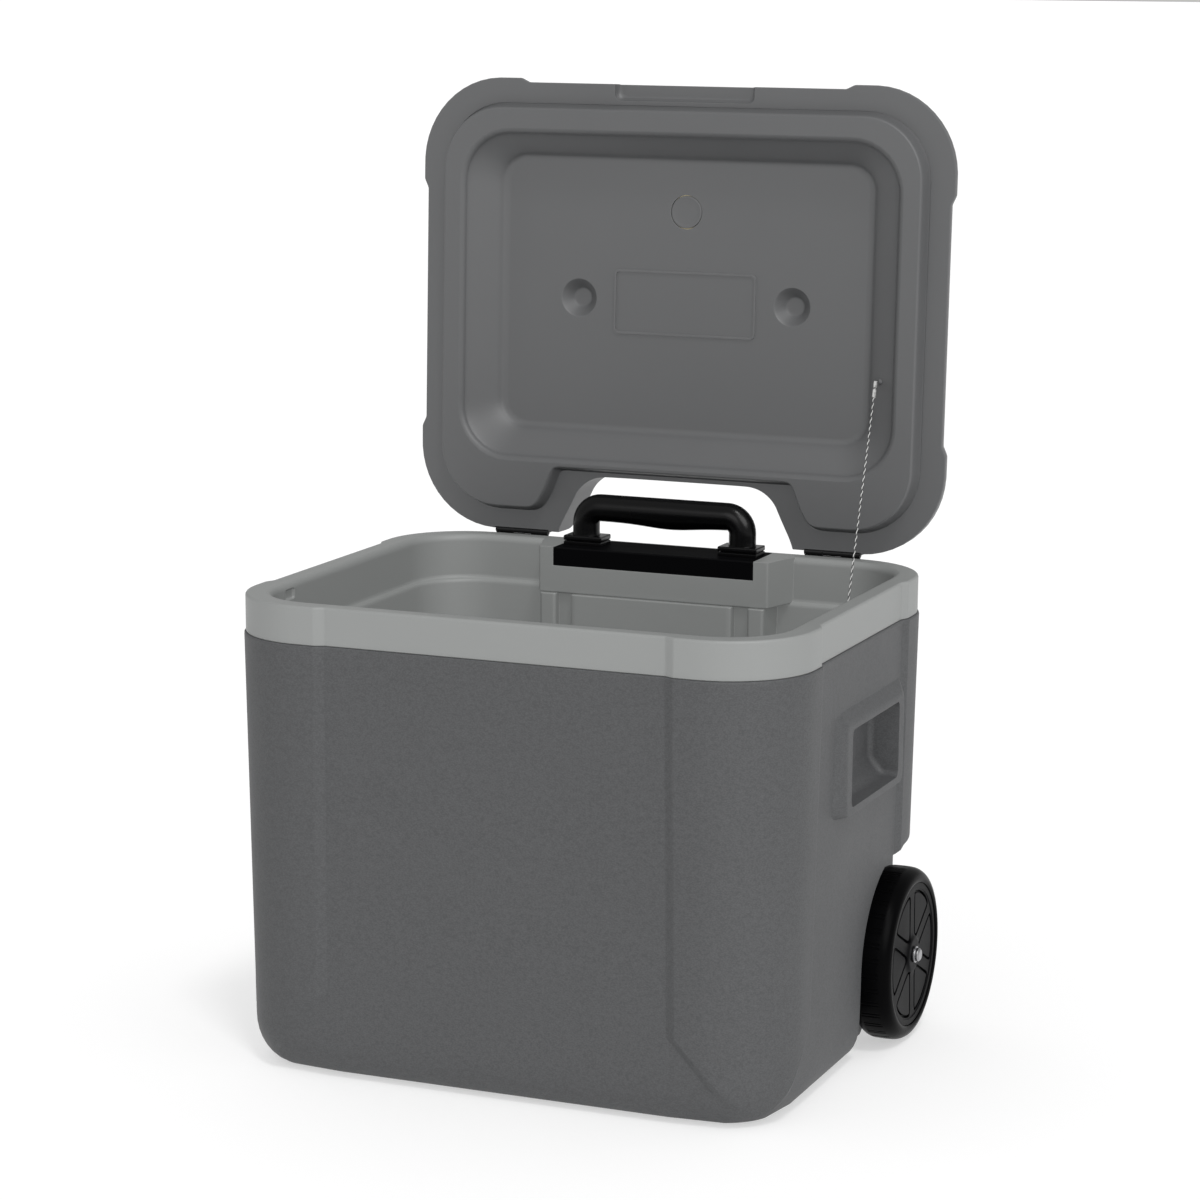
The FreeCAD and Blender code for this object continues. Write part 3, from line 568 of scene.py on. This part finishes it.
def plug_outline(z, inset):
    """Outline of the lid's plug: rounded rectangle with a step back around the handle housing."""
    hx, yf, yr, r = 246.5, -195.75, 198.25, 62.5
    half = []
    for k in range(13):
        a = math.radians(-90 + 90 * k / 12)
        half.append((hx - r + r * math.cos(a), yf + r + r * math.sin(a)))
    for k in range(13):
        a = math.radians(90 * k / 12)
        half.append((hx - r + r * math.cos(a), yr - r + r * math.sin(a)))
    back = PLUG_NOTCH_Y
    corners = [(165, yr), (142, yr), (130.5, 181), (122, back + 2), (118.5, back), (108, back)]
    half += [tuple(p) for p in soften(corners, 3)]
    half += [(x, back) for x in (90, 60, 30)]
    half = [(x, yf) for x in (0, 60, 120)] + half + [(0, back)]
    pts = np.array(half + [(-x, y) for x, y in half[-2:0:-1]])
    edge_a = pts - np.roll(pts, 1, 0)
    edge_b = np.roll(pts, -1, 0) - pts
    na = np.stack([edge_a[:, 1], -edge_a[:, 0]], 1) / np.linalg.norm(edge_a, axis=1)[:, None]
    nb = np.stack([edge_b[:, 1], -edge_b[:, 0]], 1) / np.linalg.norm(edge_b, axis=1)[:, None]
    n = na + nb
    n /= np.maximum(np.sum(n * na, 1), 0.35)[:, None]
    pts = pts - n * inset
    return np.column_stack([pts, np.full(len(pts), z)])


def hollow_rings(g):
    """Hollow in the underside of the lid, grown by g."""
    lip = [(PLUG_Z - 2.0, 9.0), (PLUG_Z - 0.2, 6.0), (PLUG_Z + 0.8, 3.0)]
    lip += [(PLUG_Z + 3.0, 0.6), (PLUG_Z + 7, -1.0)]
    line = [(z, 221.0 + d, -168.0 - d, 144.0 + d, 47.0 + d) for z, d in lip]
    line += [(RECESS_Z - 7, 194.5, -150, 120.5, 29), (RECESS_Z - 1.2, 190, -147, 116.5, 25)]
    line = soften(line + [(RECESS_Z, 183, -142, 111, 20)], 2)
    rings = []
    for z, hx, yf, yr, r in line:
        if g and z < LID_Z + 1:
            continue
        rings.append(ring(hx + g, yf - g, yr + g, r + g, z + (g if z > RECESS_Z - 2 else 0)))
    return rings


def cone(name, x, y, z0, r0, z1, r1, soft=2.0):
    """Round dimple with a soft rim and floor."""
    line = [(z0 - 2, r0 + 3), (z0, r0 + soft), (z0 + 1.5, r0)]
    line = soften(line + [(z1 - 1.5, r1 + 0.6), (z1, r1 - 1), (z1 + 0.01, 0.5)], 2)
    return loft(name, [circle(x, y, z, r) for z, r in line])


def make_underside():
    flat = [(LID_Z, 0.8), (LID_Z + 0.25, 0.3), (LID_Z + 0.8, 0.0), (LID_SPLIT - 0.05, 0.0)]
    rim = []
    for z, i in flat:
        r = CORNER_R + 1 - i
        rim.append(ring(LID_X - i, LID_FRONT + i, LID_REAR - i, r, z, STEP_X, STEP_Y, RECESS))
    panel = loft("lid_underside", rim)
    panel = cut(panel, loft("groove", [plug_outline(z, -1.1) for z in (LID_Z - 1, LID_Z + 0.9)]))
    plug = [(PLUG_Z, 5.0), (PLUG_Z + 0.25, 4.2), (PLUG_Z + 1.0, 3.4), (PLUG_Z + 2.4, 2.8), (PLUG_Z + 5, 2.3)]
    plug += [(LID_Z - 2.0, 0.6), (LID_Z - 0.6, 0.0), (LID_Z + 1, -1.0)]
    panel = join(panel, loft("plug", [plug_outline(z, i) for z, i in plug]))
    cup = loft("cup", hollow_rings(LID_WALL))
    panel = join(panel, cup)
    panel = cut(panel, loft("hollow", hollow_rings(0.0)))
    xs = (-DIMPLE_X, DIMPLE_X)
    wells = [cone("dimple", x, DIMPLE_Y, RECESS_Z + 3.0, 21.0, RECESS_Z + 13.5, 12.0) for x in xs]
    panel = join(panel, *wells)
    dips = [cone("dimple", x, DIMPLE_Y, RECESS_Z - 0.3, 17.0, RECESS_Z + 11.0, 9.5) for x in xs]
    label = prism_z("label", rounded(73, -40, 22, 5), RECESS_Z - 1.5, RECESS_Z + 0.5)
    label = cut(label, prism_z("inner", rounded(71.0, -38.0, 20.0, 3.4), RECESS_Z - 3, RECESS_Z + 2))
    panel = join(panel, label)
    seat = loft("seat", [circle(0, FILL_Y, z, 16.1) for z in (RECESS_Z - 3, RECESS_Z + 5)])
    panel = cut(panel, *dips, seat)
    panel = cut(panel, notch(0, 400, 500), scoop(0), *relief())
    return turn(panel, OPENED)


def rounded(hx, y0, y1, r, n=6):
    """Outline of a rounded rectangle, seen from above."""
    pts = []
    corners = ((hx - r, y0 + r, -90), (hx - r, y1 - r, 0), (-hx + r, y1 - r, 90), (-hx + r, y0 + r, 180))
    for cx, cy, start in corners:
        for k in range(n):
            a = math.radians(start + 90 * k / (n - 1))
            pts.append((cx + r * math.cos(a), cy + r * math.sin(a)))
    return pts


def make_fill_plug():
    rows = [(3.2, 15.6), (0.4, 15.6), (-0.1, 15.2), (-0.35, 14.4), (-0.1, 13.2), (0.1, 12.0), (0.15, 6.0)]
    return turn(loft("fill_disc", [circle(0, FILL_Y, RECESS_Z + dz, r, 64) for dz, r in rows]), OPENED)


# ---------------------------------------------------------------- pull handle
def make_grip():
    """Round bar bent into a wide D, with a palm swell under it and flared ends on square feet."""
    zb = TOP_Z + 36.5
    x = TUBE_X + 1.0
    r = 15.5
    foot = TOP_Z + 4.3
    bend = np.linspace(0, math.pi / 2, 11)[1:-1]
    path = [(-x, z) for z in np.linspace(foot + 2, zb - r, 9)]
    path += [(-x + r - r * math.cos(a), zb - r + r * math.sin(a)) for a in bend]
    path += [(u, zb) for u in np.linspace(-x + r, x - r, 33)]
    path += [(x - r + r * math.sin(a), zb - r + r * math.cos(a)) for a in bend]
    path += [(x, z) for z in np.linspace(zb - r, foot + 2, 9)]
    path = np.array(path)
    ahead = np.gradient(path, axis=0)
    ahead /= np.linalg.norm(ahead, axis=1)[:, None]
    rings = []
    for (px, pz), (tx, tz) in zip(path, ahead):
        out = np.array([-tz, tx])
        near_foot = max(0.0, 1 - (pz - foot - 2) / 7.0)
        girth = min(12.25 + 2.2 * near_foot ** 2, 12.3)
        girth_up = 13.3 + 1.2 * near_foot ** 2
        pts = []
        for k in range(40):
            a = 2 * math.pi * k / 40
            up, side = math.cos(a), math.sin(a)
            bulge = 0.0
            if abs(tz) < 0.3:
                swell = math.exp(-((px - 8) / 34.0) ** 2)
                bulge = 3.6 * swell * max(0.0, -up) ** 1.2
            reach = girth_up + bulge
            rise = up * (reach - 0.25 * max(0.0, up) ** 6)
            pts.append((px + out[0] * rise, TUBE_Y + side * girth, pz + out[1] * rise))
        rings.append(np.array(pts))
    bar = loft("pull_grip", rings)
    feet = []
    for side in (-1, 1):
        fx = side * TUBE_X
        low = box("foot", fx - 19.9, fx + 19.9, TUBE_Y - 13.4, TUBE_Y + 12.3, foot, foot + 5)
        feet.append(bevel(low, 1.3, 3))
    bar = join(bar, *feet)
    bores = [loft("bore", [circle(s * TUBE_X, TUBE_Y, z, 8.02) for z in (TOP_Z, TOP_Z + 14)]) for s in (-1, 1)]
    return cut(bar, *bores)


# ---------------------------------------------------------------- wheels
def lathe(name, profile, n=128):
    """Profile of (x, radius) points turned about the right wheel's axle."""
    a = np.arange(n) * 2 * math.pi / n
    rings = []
    for x, r in profile:
        rings.append(np.stack([np.full(n, x), WHEEL_Y + r * np.cos(a), WHEEL_Z + r * np.sin(a)], 1))
    return loft(name, rings, closed=True)


def make_tyre():
    a, b, r = WHEEL_IN, WHEEL_OUT, RIM_R
    line = [(a + 0.2, r + 0.1), (a, r + 4), (a + 2, r + 10), (a + 8, TYRE_R - 0.3), (a + 15, TYRE_R)]
    line += [(b - 15, TYRE_R), (b - 8, TYRE_R - 0.8), (b - 2.2, r + 9.2), (b - 0.1, r + 3.8)]
    line = soften(line + [(b - 1.0, r + 0.6), (b - 1.4, r + 0.1)], 2)
    return lathe("wheel_tread", [tuple(p) for p in line])


def tread_grooves():
    """Shallow cross cuts in pairs around the tread."""
    tools = []
    mid = WHEEL_IN + 20
    for k in range(36):
        for shift in (0.0, 0.045):
            a = 2 * math.pi * k / 36 + shift
            tools.append(spoke_box(mid - 9, mid + 9, TYRE_R - 0.7, TYRE_R + 2, 0.9, a))
    return tools


def spoke_box(x0, x1, r0, r1, half, a):
    """Box that stands on the axle's line at angle a, from radius r0 to r1."""
    c, s = math.cos(a), math.sin(a)
    outline = ((r0, -half), (r1, -half), (r1, half), (r0, half))
    rings = [[(x, WHEEL_Y + r * c - h * s, WHEEL_Z + r * s + h * c) for r, h in outline] for x in (x0, x1)]
    return loft("groove", rings)


# Half of a petal's outline: radius along its middle line and half its width there.
PETAL = [(17, 0), (18, 3.2), (21.5, 6.2), (28, 10), (40, 17), (49, 22.2)]
PETAL += [(53, 23.6), (56, 22.4), (58.4, 17.2), (60.2, 9), (60.8, 0)]


def petal(inset, x0, x1, k):
    """One petal of the wheel's face, drawn in by the inset all round."""
    outline = np.array(PETAL + [(u, -v) for u, v in PETAL[-2:0:-1]])
    outline = np.concatenate([soften(np.roll(outline, -j, 0)[:3], 1)[1:-1] for j in range(len(outline))])
    edge = np.roll(outline, -1, 0) - np.roll(outline, 1, 0)
    edge /= np.linalg.norm(edge, axis=1)[:, None]
    outline = outline + np.stack([edge[:, 1], -edge[:, 0]], 1) * inset
    a = math.radians(PETAL_TURN + 60 * k)
    c, s = math.cos(a), math.sin(a)
    rings = [[(x, WHEEL_Y + u * c - v * s, WHEEL_Z + u * s + v * c) for u, v in outline] for x in (x0, x1)]
    return loft("petal", rings)


def make_hub():
    """Wheel centre: dished face with six petal pockets, each with a raised pad, and ribs behind."""
    f = WHEEL_OUT
    rim = [(WHEEL_IN + 1, RIM_R - 6.5), (WHEEL_IN + 1, RIM_R), (f - 2.6, RIM_R), (f - 2.1, RIM_R - 0.5)]
    rim += [(f - 2.0, RIM_R - 1.2), (f - 2.2, RIM_R - 5.6), (f - 3.0, RIM_R - 6.4)]
    centre = [(f - 3.2, 24), (f - 3.0, 19), (f - 1.6, 16.6), (f - 1.1, 15.2), (f - 1.0, 13.4)]
    centre += [(f - 1.0, BORE_R)]
    back = [(WHEEL_IN - 2, BORE_R), (WHEEL_IN - 2, 14), (f - 11, 14), (f - 11, RIM_R - 6.5)]
    hub = lathe("wheel_disc", rim + centre + back)
    for k in range(6):
        hub = cut(hub, petal(0.0, f - 6.2, f + 3, k))
        hub = join(hub, bevel(petal(2.5, f - 7.0, f - 3.1, k), 0.6, 2))
    ribs = []
    for k in range(6):
        a = math.radians(PETAL_TURN + 30 + 60 * k)
        ribs.append(spoke_box(WHEEL_IN + 6, f - 10, 12, 63, 1.5, a))
    return join(hub, *ribs)


# ---------------------------------------------------------------- lid stay cord
def route_line(points):
    """Points along the cord's own smooth line, in metres."""
    curve = bpy.data.curves.new("route", "CURVE")
    curve.dimensions = "3D"
    curve.resolution_u = 24
    spline = curve.splines.new("NURBS")
    spline.points.add(len(points) - 1)
    for p, co in zip(spline.points, points):
        p.co = (*co, 1.0)
    spline.order_u = 3
    spline.use_endpoint_u = True
    holder = bpy.data.objects.new("route", curve)
    scene.collection.objects.link(holder)
    depsgraph = bpy.context.evaluated_depsgraph_get()
    mesh = bpy.data.meshes.new_from_object(holder.evaluated_get(depsgraph))
    line = np.array([v.co for v in mesh.vertices])
    bpy.data.objects.remove(holder)
    bpy.data.meshes.remove(mesh)
    return line


def along(line, count):
    steps = np.linalg.norm(np.diff(line, axis=0), axis=1)
    s = np.concatenate([[0], np.cumsum(steps)])
    at = np.linspace(0, s[-1], count)
    return np.stack([np.interp(at, s, line[:, k]) for k in range(3)], 1), at


def strand_mesh(name, line, strands, strand_r, helix_r, pitch, sides=8, count=900):
    """Strands twisted about a line; every other strand takes the second material."""
    pts, at = along(line, count)
    ahead = np.gradient(pts, axis=0)
    ahead /= np.linalg.norm(ahead, axis=1)[:, None]
    u = np.cross(ahead, (1.0, 0.2, 0.1))
    u /= np.linalg.norm(u, axis=1)[:, None]
    w = np.cross(ahead, u)
    verts, faces, kinds = [], [], []
    for k in range(strands):
        turn_by = 2 * math.pi * (at / pitch + k / strands)
        out = u * np.cos(turn_by)[:, None] + w * np.sin(turn_by)[:, None]
        side = np.cross(ahead, out)
        centre = pts + out * helix_r
        base = len(verts)
        for c, o, s in zip(centre, out, side):
            for q in range(sides):
                a = 2 * math.pi * q / sides
                verts.append(c + (o * math.cos(a) + s * math.sin(a)) * strand_r)
        for i in range(count - 1):
            for q in range(sides):
                p = (q + 1) % sides
                a, b = base + i * sides, base + (i + 1) * sides
                faces.append((a + q, a + p, b + p, b + q))
                kinds.append(k % 2)
        for end in (base, base + (count - 1) * sides):
            faces.append(tuple(range(end, end + sides)))
            kinds.append(k % 2)
    obj = new_object(name, np.array(verts) / MM, faces)
    obj.data.polygons.foreach_set("material_index", kinds)
    obj.data.shade_smooth()
    return obj


# ---------------------------------------------------------------- materials
EDGE_SOFT = 0.7
EDGE_WEAR_AND_HIGHLIGHT = 1.6
ROUGH_SPREAD = 0.06
# Sockets of the mix node that carry colour.
COLOR_A, COLOR_B, COLOR_OUT = 6, 7, 2


def node(tree, kind, inputs=(), **settings):
    n = tree.nodes.new(kind)
    for key, value in settings.items():
        setattr(n, key, value)
    for key, value in dict(inputs).items():
        if isinstance(value, bpy.types.NodeSocket):
            tree.links.new(value, n.inputs[key])
        else:
            n.inputs[key].default_value = value
    return n


def scaled(tree, value, low, high, new_low, new_high):
    spans = {"From Min": low, "From Max": high, "To Min": new_low, "To Max": new_high}
    return node(tree, "ShaderNodeMapRange", {"Value": value, **spans}).outputs["Result"]


def math_node(tree, operation, a, b):
    return node(tree, "ShaderNodeMath", {0: a, 1: b}, operation=operation).outputs["Value"]


def noise(tree, where, scale, detail, **more):
    return node(tree, "ShaderNodeTexNoise", {"Vector": where, "Scale": scale, "Detail": detail, **more})


def leather(tree, where, stretch, scale):
    """Height of a pebbled grain: warped cells on a slow swell."""
    spread = node(tree, "ShaderNodeMapping", {"Vector": where, "Scale": (1.0, 1.0, stretch)}).outputs["Vector"]
    bend = noise(tree, spread, scale * 0.6, 2.0).outputs["Color"]
    shift = node(tree, "ShaderNodeVectorMath", {0: bend, 1: (0.5, 0.5, 0.5)}, operation="SUBTRACT")
    shift = node(tree, "ShaderNodeVectorMath", {0: shift.outputs["Vector"], "Scale": 1.6 / scale},
                 operation="SCALE")
    at = node(tree, "ShaderNodeVectorMath", {0: spread, 1: shift.outputs["Vector"]}, operation="ADD")
    at = at.outputs["Vector"]
    cells = node(tree, "ShaderNodeTexVoronoi", {"Vector": at, "Scale": scale}, feature="F1").outputs["Distance"]
    swell = noise(tree, spread, scale * 0.33, 3.0).outputs["Fac"]
    return math_node(tree, "ADD", scaled(tree, cells, 0.1, 0.75, 1.0, 0.0), swell)


def plastic(name, color, rough, grain=0.0, grain_scale=420.0, stretch=1.0, fine=0.0, fine_scale=1800.0,
            cloud=0.06, edge=0.12, specular=0.5, ior=1.5, metallic=0.0, wave=0.0):
    """Moulded surface: clouded colour, lighter edges that are partly wear and partly painted highlight, leather or
    fine grain in the bump with painted shade in its hollows, uneven roughness.
    """
    mat = bpy.data.materials.new(name)
    mat.use_nodes = True
    tree = mat.node_tree
    tree.nodes.clear()
    where = node(tree, "ShaderNodeTexCoord").outputs["Object"]
    broad = noise(tree, where, 7.0, 4.0, Roughness=0.55).outputs["Fac"]
    speck = noise(tree, where, fine_scale, 2.0).outputs["Fac"]
    normal = node(tree, "ShaderNodeBevel", {"Radius": EDGE_SOFT * MM}, samples=4).outputs["Normal"]
    wide = node(tree, "ShaderNodeBevel", {"Radius": EDGE_WEAR_AND_HIGHLIGHT * MM}, samples=4).outputs["Normal"]
    true = node(tree, "ShaderNodeNewGeometry").outputs["Normal"]
    facing = node(tree, "ShaderNodeVectorMath", {0: wide, 1: true}, operation="DOT_PRODUCT").outputs["Value"]
    patchy = scaled(tree, broad, 0.3, 0.7, 0.4, 1.0)
    # Edge mask, patchy along every edge the wide bevel finds: partly wear, partly painted highlight.
    edge_wear_and_highlight = math_node(tree, "MULTIPLY", scaled(tree, facing, 0.995, 0.80, 0.0, 1.0), patchy)
    clouds = scaled(tree, broad, 0.25, 0.75, 1.0 - cloud, 1.0 + cloud)
    grit = scaled(tree, speck, 0.3, 0.7, 1.0 - cloud * 0.8, 1.0 + cloud * 0.8)
    shade = math_node(tree, "MULTIPLY", clouds, grit)
    height = scaled(tree, speck, 0.0, 1.0, -fine, fine)
    if grain:
        pebbles = leather(tree, where, stretch, grain_scale)
        height = math_node(tree, "ADD", height, scaled(tree, pebbles, 0, 1, 0, grain))
        # Painted shade in the grain's hollows and painted light on its tops: the colour follows the grain's
        # height.
        grain_hollow_shade = scaled(tree, pebbles, 0.4, 1.6, 1.0 - grain * 0.35, 1.0 + grain * 0.25)
        shade = math_node(tree, "MULTIPLY", shade, grain_hollow_shade)
    if wave:
        slow = noise(tree, where, 16.0, 1.0).outputs["Fac"]
        sway = {"Height": slow, "Strength": 1.0, "Distance": wave * MM, "Normal": normal}
        normal = node(tree, "ShaderNodeBump", sway).outputs["Normal"]
    tint = node(tree, "ShaderNodeCombineColor", {"Red": shade, "Green": shade, "Blue": shade}).outputs["Color"]
    mixing = {"Factor": 1.0, COLOR_A: (*color, 1.0), COLOR_B: tint}
    base = node(tree, "ShaderNodeMix", mixing, data_type="RGBA", blend_type="MULTIPLY").outputs[COLOR_OUT]
    # Edges lifted toward a lighter colour: partly wear, partly painted highlight along the edges.
    if edge:
        light = tuple(min(1.0, c + (1 - c) * edge * 0.35 + c * edge) for c in color)
        mixing = {"Factor": edge_wear_and_highlight, COLOR_A: base, COLOR_B: (*light, 1.0)}
        base = node(tree, "ShaderNodeMix", mixing, data_type="RGBA").outputs[COLOR_OUT]
    roughness = scaled(tree, broad, 0.25, 0.75, rough - ROUGH_SPREAD, rough + ROUGH_SPREAD)
    bumps = {"Height": height, "Strength": 1.0, "Distance": 0.12 * MM, "Normal": normal}
    bump = node(tree, "ShaderNodeBump", bumps).outputs["Normal"]
    shader = node(tree, "ShaderNodeBsdfPrincipled", {
        "Base Color": base, "Roughness": roughness, "Metallic": metallic, "IOR": ior,
        "Specular IOR Level": specular, "Normal": bump})
    node(tree, "ShaderNodeOutputMaterial", {"Surface": shader.outputs["BSDF"]})
    return mat


MATS = {
    "shell_plastic": plastic("shell_grain", (0.077, 0.0785, 0.081), 0.56, grain=0.55, grain_scale=560.0,
                             stretch=1.5, cloud=0.025, edge=0.08, specular=0.3),
    "liner_plastic": plastic("liner_satin", (0.238, 0.245, 0.241), 0.5, fine=0.3, cloud=0.02, edge=0.18,
                             wave=0.05),
    "lid_plastic": plastic("lid_satin", (0.096, 0.0975, 0.0998), 0.47, fine=0.25, cloud=0.03, wave=0.16),
    "foam": plastic("foam_cells", (0.8, 0.7, 0.42), 0.9, grain=1.0, grain_scale=900.0, cloud=0.1, edge=0.0),
    "black_gloss": plastic("grip_gloss", (0.0012, 0.0012, 0.0014), 0.24, fine=0.1, fine_scale=700.0,
                           cloud=0.05, edge=0.002, ior=1.3, wave=0.1),
    "black_plastic": plastic("black_texture", (0.0026, 0.0026, 0.003), 0.40, fine=0.25, fine_scale=1100.0,
                             cloud=0.05, edge=0.006, ior=1.11),
    "tyre_plastic": plastic("tyre_satin", (0.0012, 0.0012, 0.0014), 0.3, fine=0.25, fine_scale=900.0,
                            cloud=0.08, edge=0.002, ior=1.1),
    "steel": plastic("steel_zinc", (0.34, 0.34, 0.35), 0.3, fine=0.2, cloud=0.08, edge=0.1, metallic=1.0),
    "black_steel": plastic("steel_black", (0.003, 0.003, 0.0034), 0.38, fine=0.15, cloud=0.05, edge=0.02,
                           specular=0.3),
    "cord": plastic("cord_white", (0.6, 0.6, 0.59), 0.7, fine=0.8, fine_scale=2600.0, cloud=0.1, edge=0.0),
}
# Dark strand colour: painted shade and dark reflection on every other strand of the cord.
CORD_PAINTED_SHADE = plastic("cord_dark", (0.035, 0.035, 0.036), 0.75, fine=0.8, fine_scale=2600.0, cloud=0.1, edge=0.0)
BEZEL_BLACK = plastic("bezel_black", (0.003, 0.003, 0.0034), 0.5, fine=0.2, fine_scale=1100.0, cloud=0.05,
                      edge=0.03, ior=1.03)

SLOTS = {row["node"]: row["material_slot"] for row in frame["record"]["subparts"]}


def paint(obj, *mats):
    if obj.data.materials:
        obj.data.materials.clear()
    for m in mats:
        obj.data.materials.append(m)


for name, obj in nodes.items():
    paint(obj, MATS[SLOTS[name]])
paint(nodes["handle_bezel"], BEZEL_BLACK)
paint(nodes["lid_stay_anchor"], MATS["lid_plastic"])


def place(obj, body, *replaced):
    paint(obj, MATS[SLOTS[replaced[0]]])
    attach(obj, body)
    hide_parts(*replaced)


# ---------------------------------------------------------------- pieces
place(tidy(make_shell()), "cooler", "outer_shell")
place(tidy(make_tub()), "cooler", "liner")
place(tidy(make_foam()), "cooler", "foam_insulation")
place(tidy(make_cover()), "lid", "lid_shell")
place(tidy(make_underside()), "lid", "lid_panel")
place(tidy(make_fill_plug()), "lid", "lid_fill_plug")
place(tidy(make_grip()), "handle", "grip")
tyre = tidy(cut(make_tyre(), *tread_grooves()))
hub = tidy(make_hub())
for kind, made in (("tyre", tyre), ("wheel_hub", hub)):
    place(tidy(mirror_copy(made, made.name + "_left")), "wheel_left", kind + "_left")
    place(made, "wheel_right", kind + "_right")

# The cord, in metres: from the eye in the liner's wall to the anchor's ring under the lid.
CORD_D = 0.0024
RING_OUT = 0.0029
PULL_X, PULL_Z = 0.659, 0.753
cord_low = Vector((0.2443, EYE_Y * MM, EYE_Z * MM))
ring_x = 0.203 - PULL_X * RING_OUT
ring_z = TOP_Z * MM + 0.0003 - PULL_Z * RING_OUT
cord_top = OPENED @ Vector((ring_x, HINGE_Y * MM - 0.166, ring_z))
near = (cord_top - cord_low).normalized() * CORD_D * 6
route = route_line([cord_low, cord_low + near, cord_top - near, cord_top])
cord = strand_mesh("stay_cord_strands", route, 2, 0.00042, 0.00046, 0.0088)
# The white and dark strands alternate as painted highlights and painted dark reflections along the cord's twist.
paint(cord, MATS["cord"], CORD_PAINTED_SHADE)
for name, back, half in (("stay_knot_upper", 0.0036, 0.0036), ("stay_knot_lower", 0.0145, 0.0048)):
    mid = cord_top - near.normalized() * back
    span = near.normalized() * half
    knot = strand_mesh(name, np.array([mid - span, mid, mid + span]), 3, 0.0007, 0.00105, 0.0052, count=90)
    paint(knot, MATS["cord"], MATS["cord"])
    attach(knot, "lid")
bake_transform(cord)
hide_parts("lid_stay_cord")

# ---------------------------------------------------------------- floor, light and camera
FLOOR = 60000
FLOOR_DROP = -0.3
corners = [(-FLOOR, -FLOOR), (FLOOR, -FLOOR), (FLOOR, FLOOR), (-FLOOR, FLOOR)]
floor = new_object("floor", [(x, y, FLOOR_DROP) for x, y in corners], [(0, 1, 2, 3)])
floor_paint = plastic("floor_white", (0.82, 0.82, 0.82), 0.8, cloud=0.0, edge=0.0, specular=0.05)
glow = floor_paint.node_tree.nodes["Principled BSDF"]
glow.inputs["Emission Color"].default_value = (1.0, 1.0, 1.0, 1.0)
glow.inputs["Emission Strength"].default_value = 0.22
paint(floor, floor_paint)


def sun(name, toward, strength, angle, shadow=False):
    light = bpy.data.lights.new(name, "SUN")
    light.energy = strength
    light.angle = math.radians(angle)
    light.use_shadow = shadow
    lamp = bpy.data.objects.new(name, light)
    scene.collection.objects.link(lamp)
    lamp.rotation_mode = "QUATERNION"
    lamp.rotation_quaternion = Vector(toward).to_track_quat("Z", "Y")


sun("key", (0.62, -0.52, 0.58), 1.72, 40.0)
sun("front", (-0.10, -0.92, 0.36), 0.38, 30.0)
sun("top", (0.30, -0.34, 0.89), 0.5, 9.0, True)

world = bpy.data.worlds.new("studio")
world.use_nodes = True
sky = world.node_tree.nodes["Background"]
sky.inputs["Color"].default_value = (1.0, 1.0, 1.0, 1.0)
sky.inputs["Strength"].default_value = 0.52
scene.world = world
scene.view_settings.view_transform = "Standard"


AIM = Vector((-0.1304, 0.3284, 0.2))
DISTANCE = 3.6302


def make_camera():
    azimuth, elevation, roll = (math.radians(d) for d in (22.6, 12.9, 0.3))
    level = math.cos(elevation)
    back = Vector((math.sin(azimuth) * level, -math.cos(azimuth) * level, math.sin(elevation)))
    right = Vector((math.cos(azimuth), math.sin(azimuth), 0))
    up = back.cross(right)
    data = bpy.data.cameras.new("camera")
    data.sensor_width = 36.0
    data.lens = 105.65
    data.shift_x = 0.0059
    data.shift_y = 0.1225
    data.clip_start = 0.1
    data.clip_end = 200.0
    camera = bpy.data.objects.new("camera", data)
    scene.collection.objects.link(camera)
    r = right * math.cos(roll) + up * math.sin(roll)
    u = up * math.cos(roll) - right * math.sin(roll)
    turned = Matrix((r, u, back)).transposed().to_4x4()
    camera.matrix_world = Matrix.Translation(AIM + back * DISTANCE) @ turned
    scene.camera = camera


make_camera()
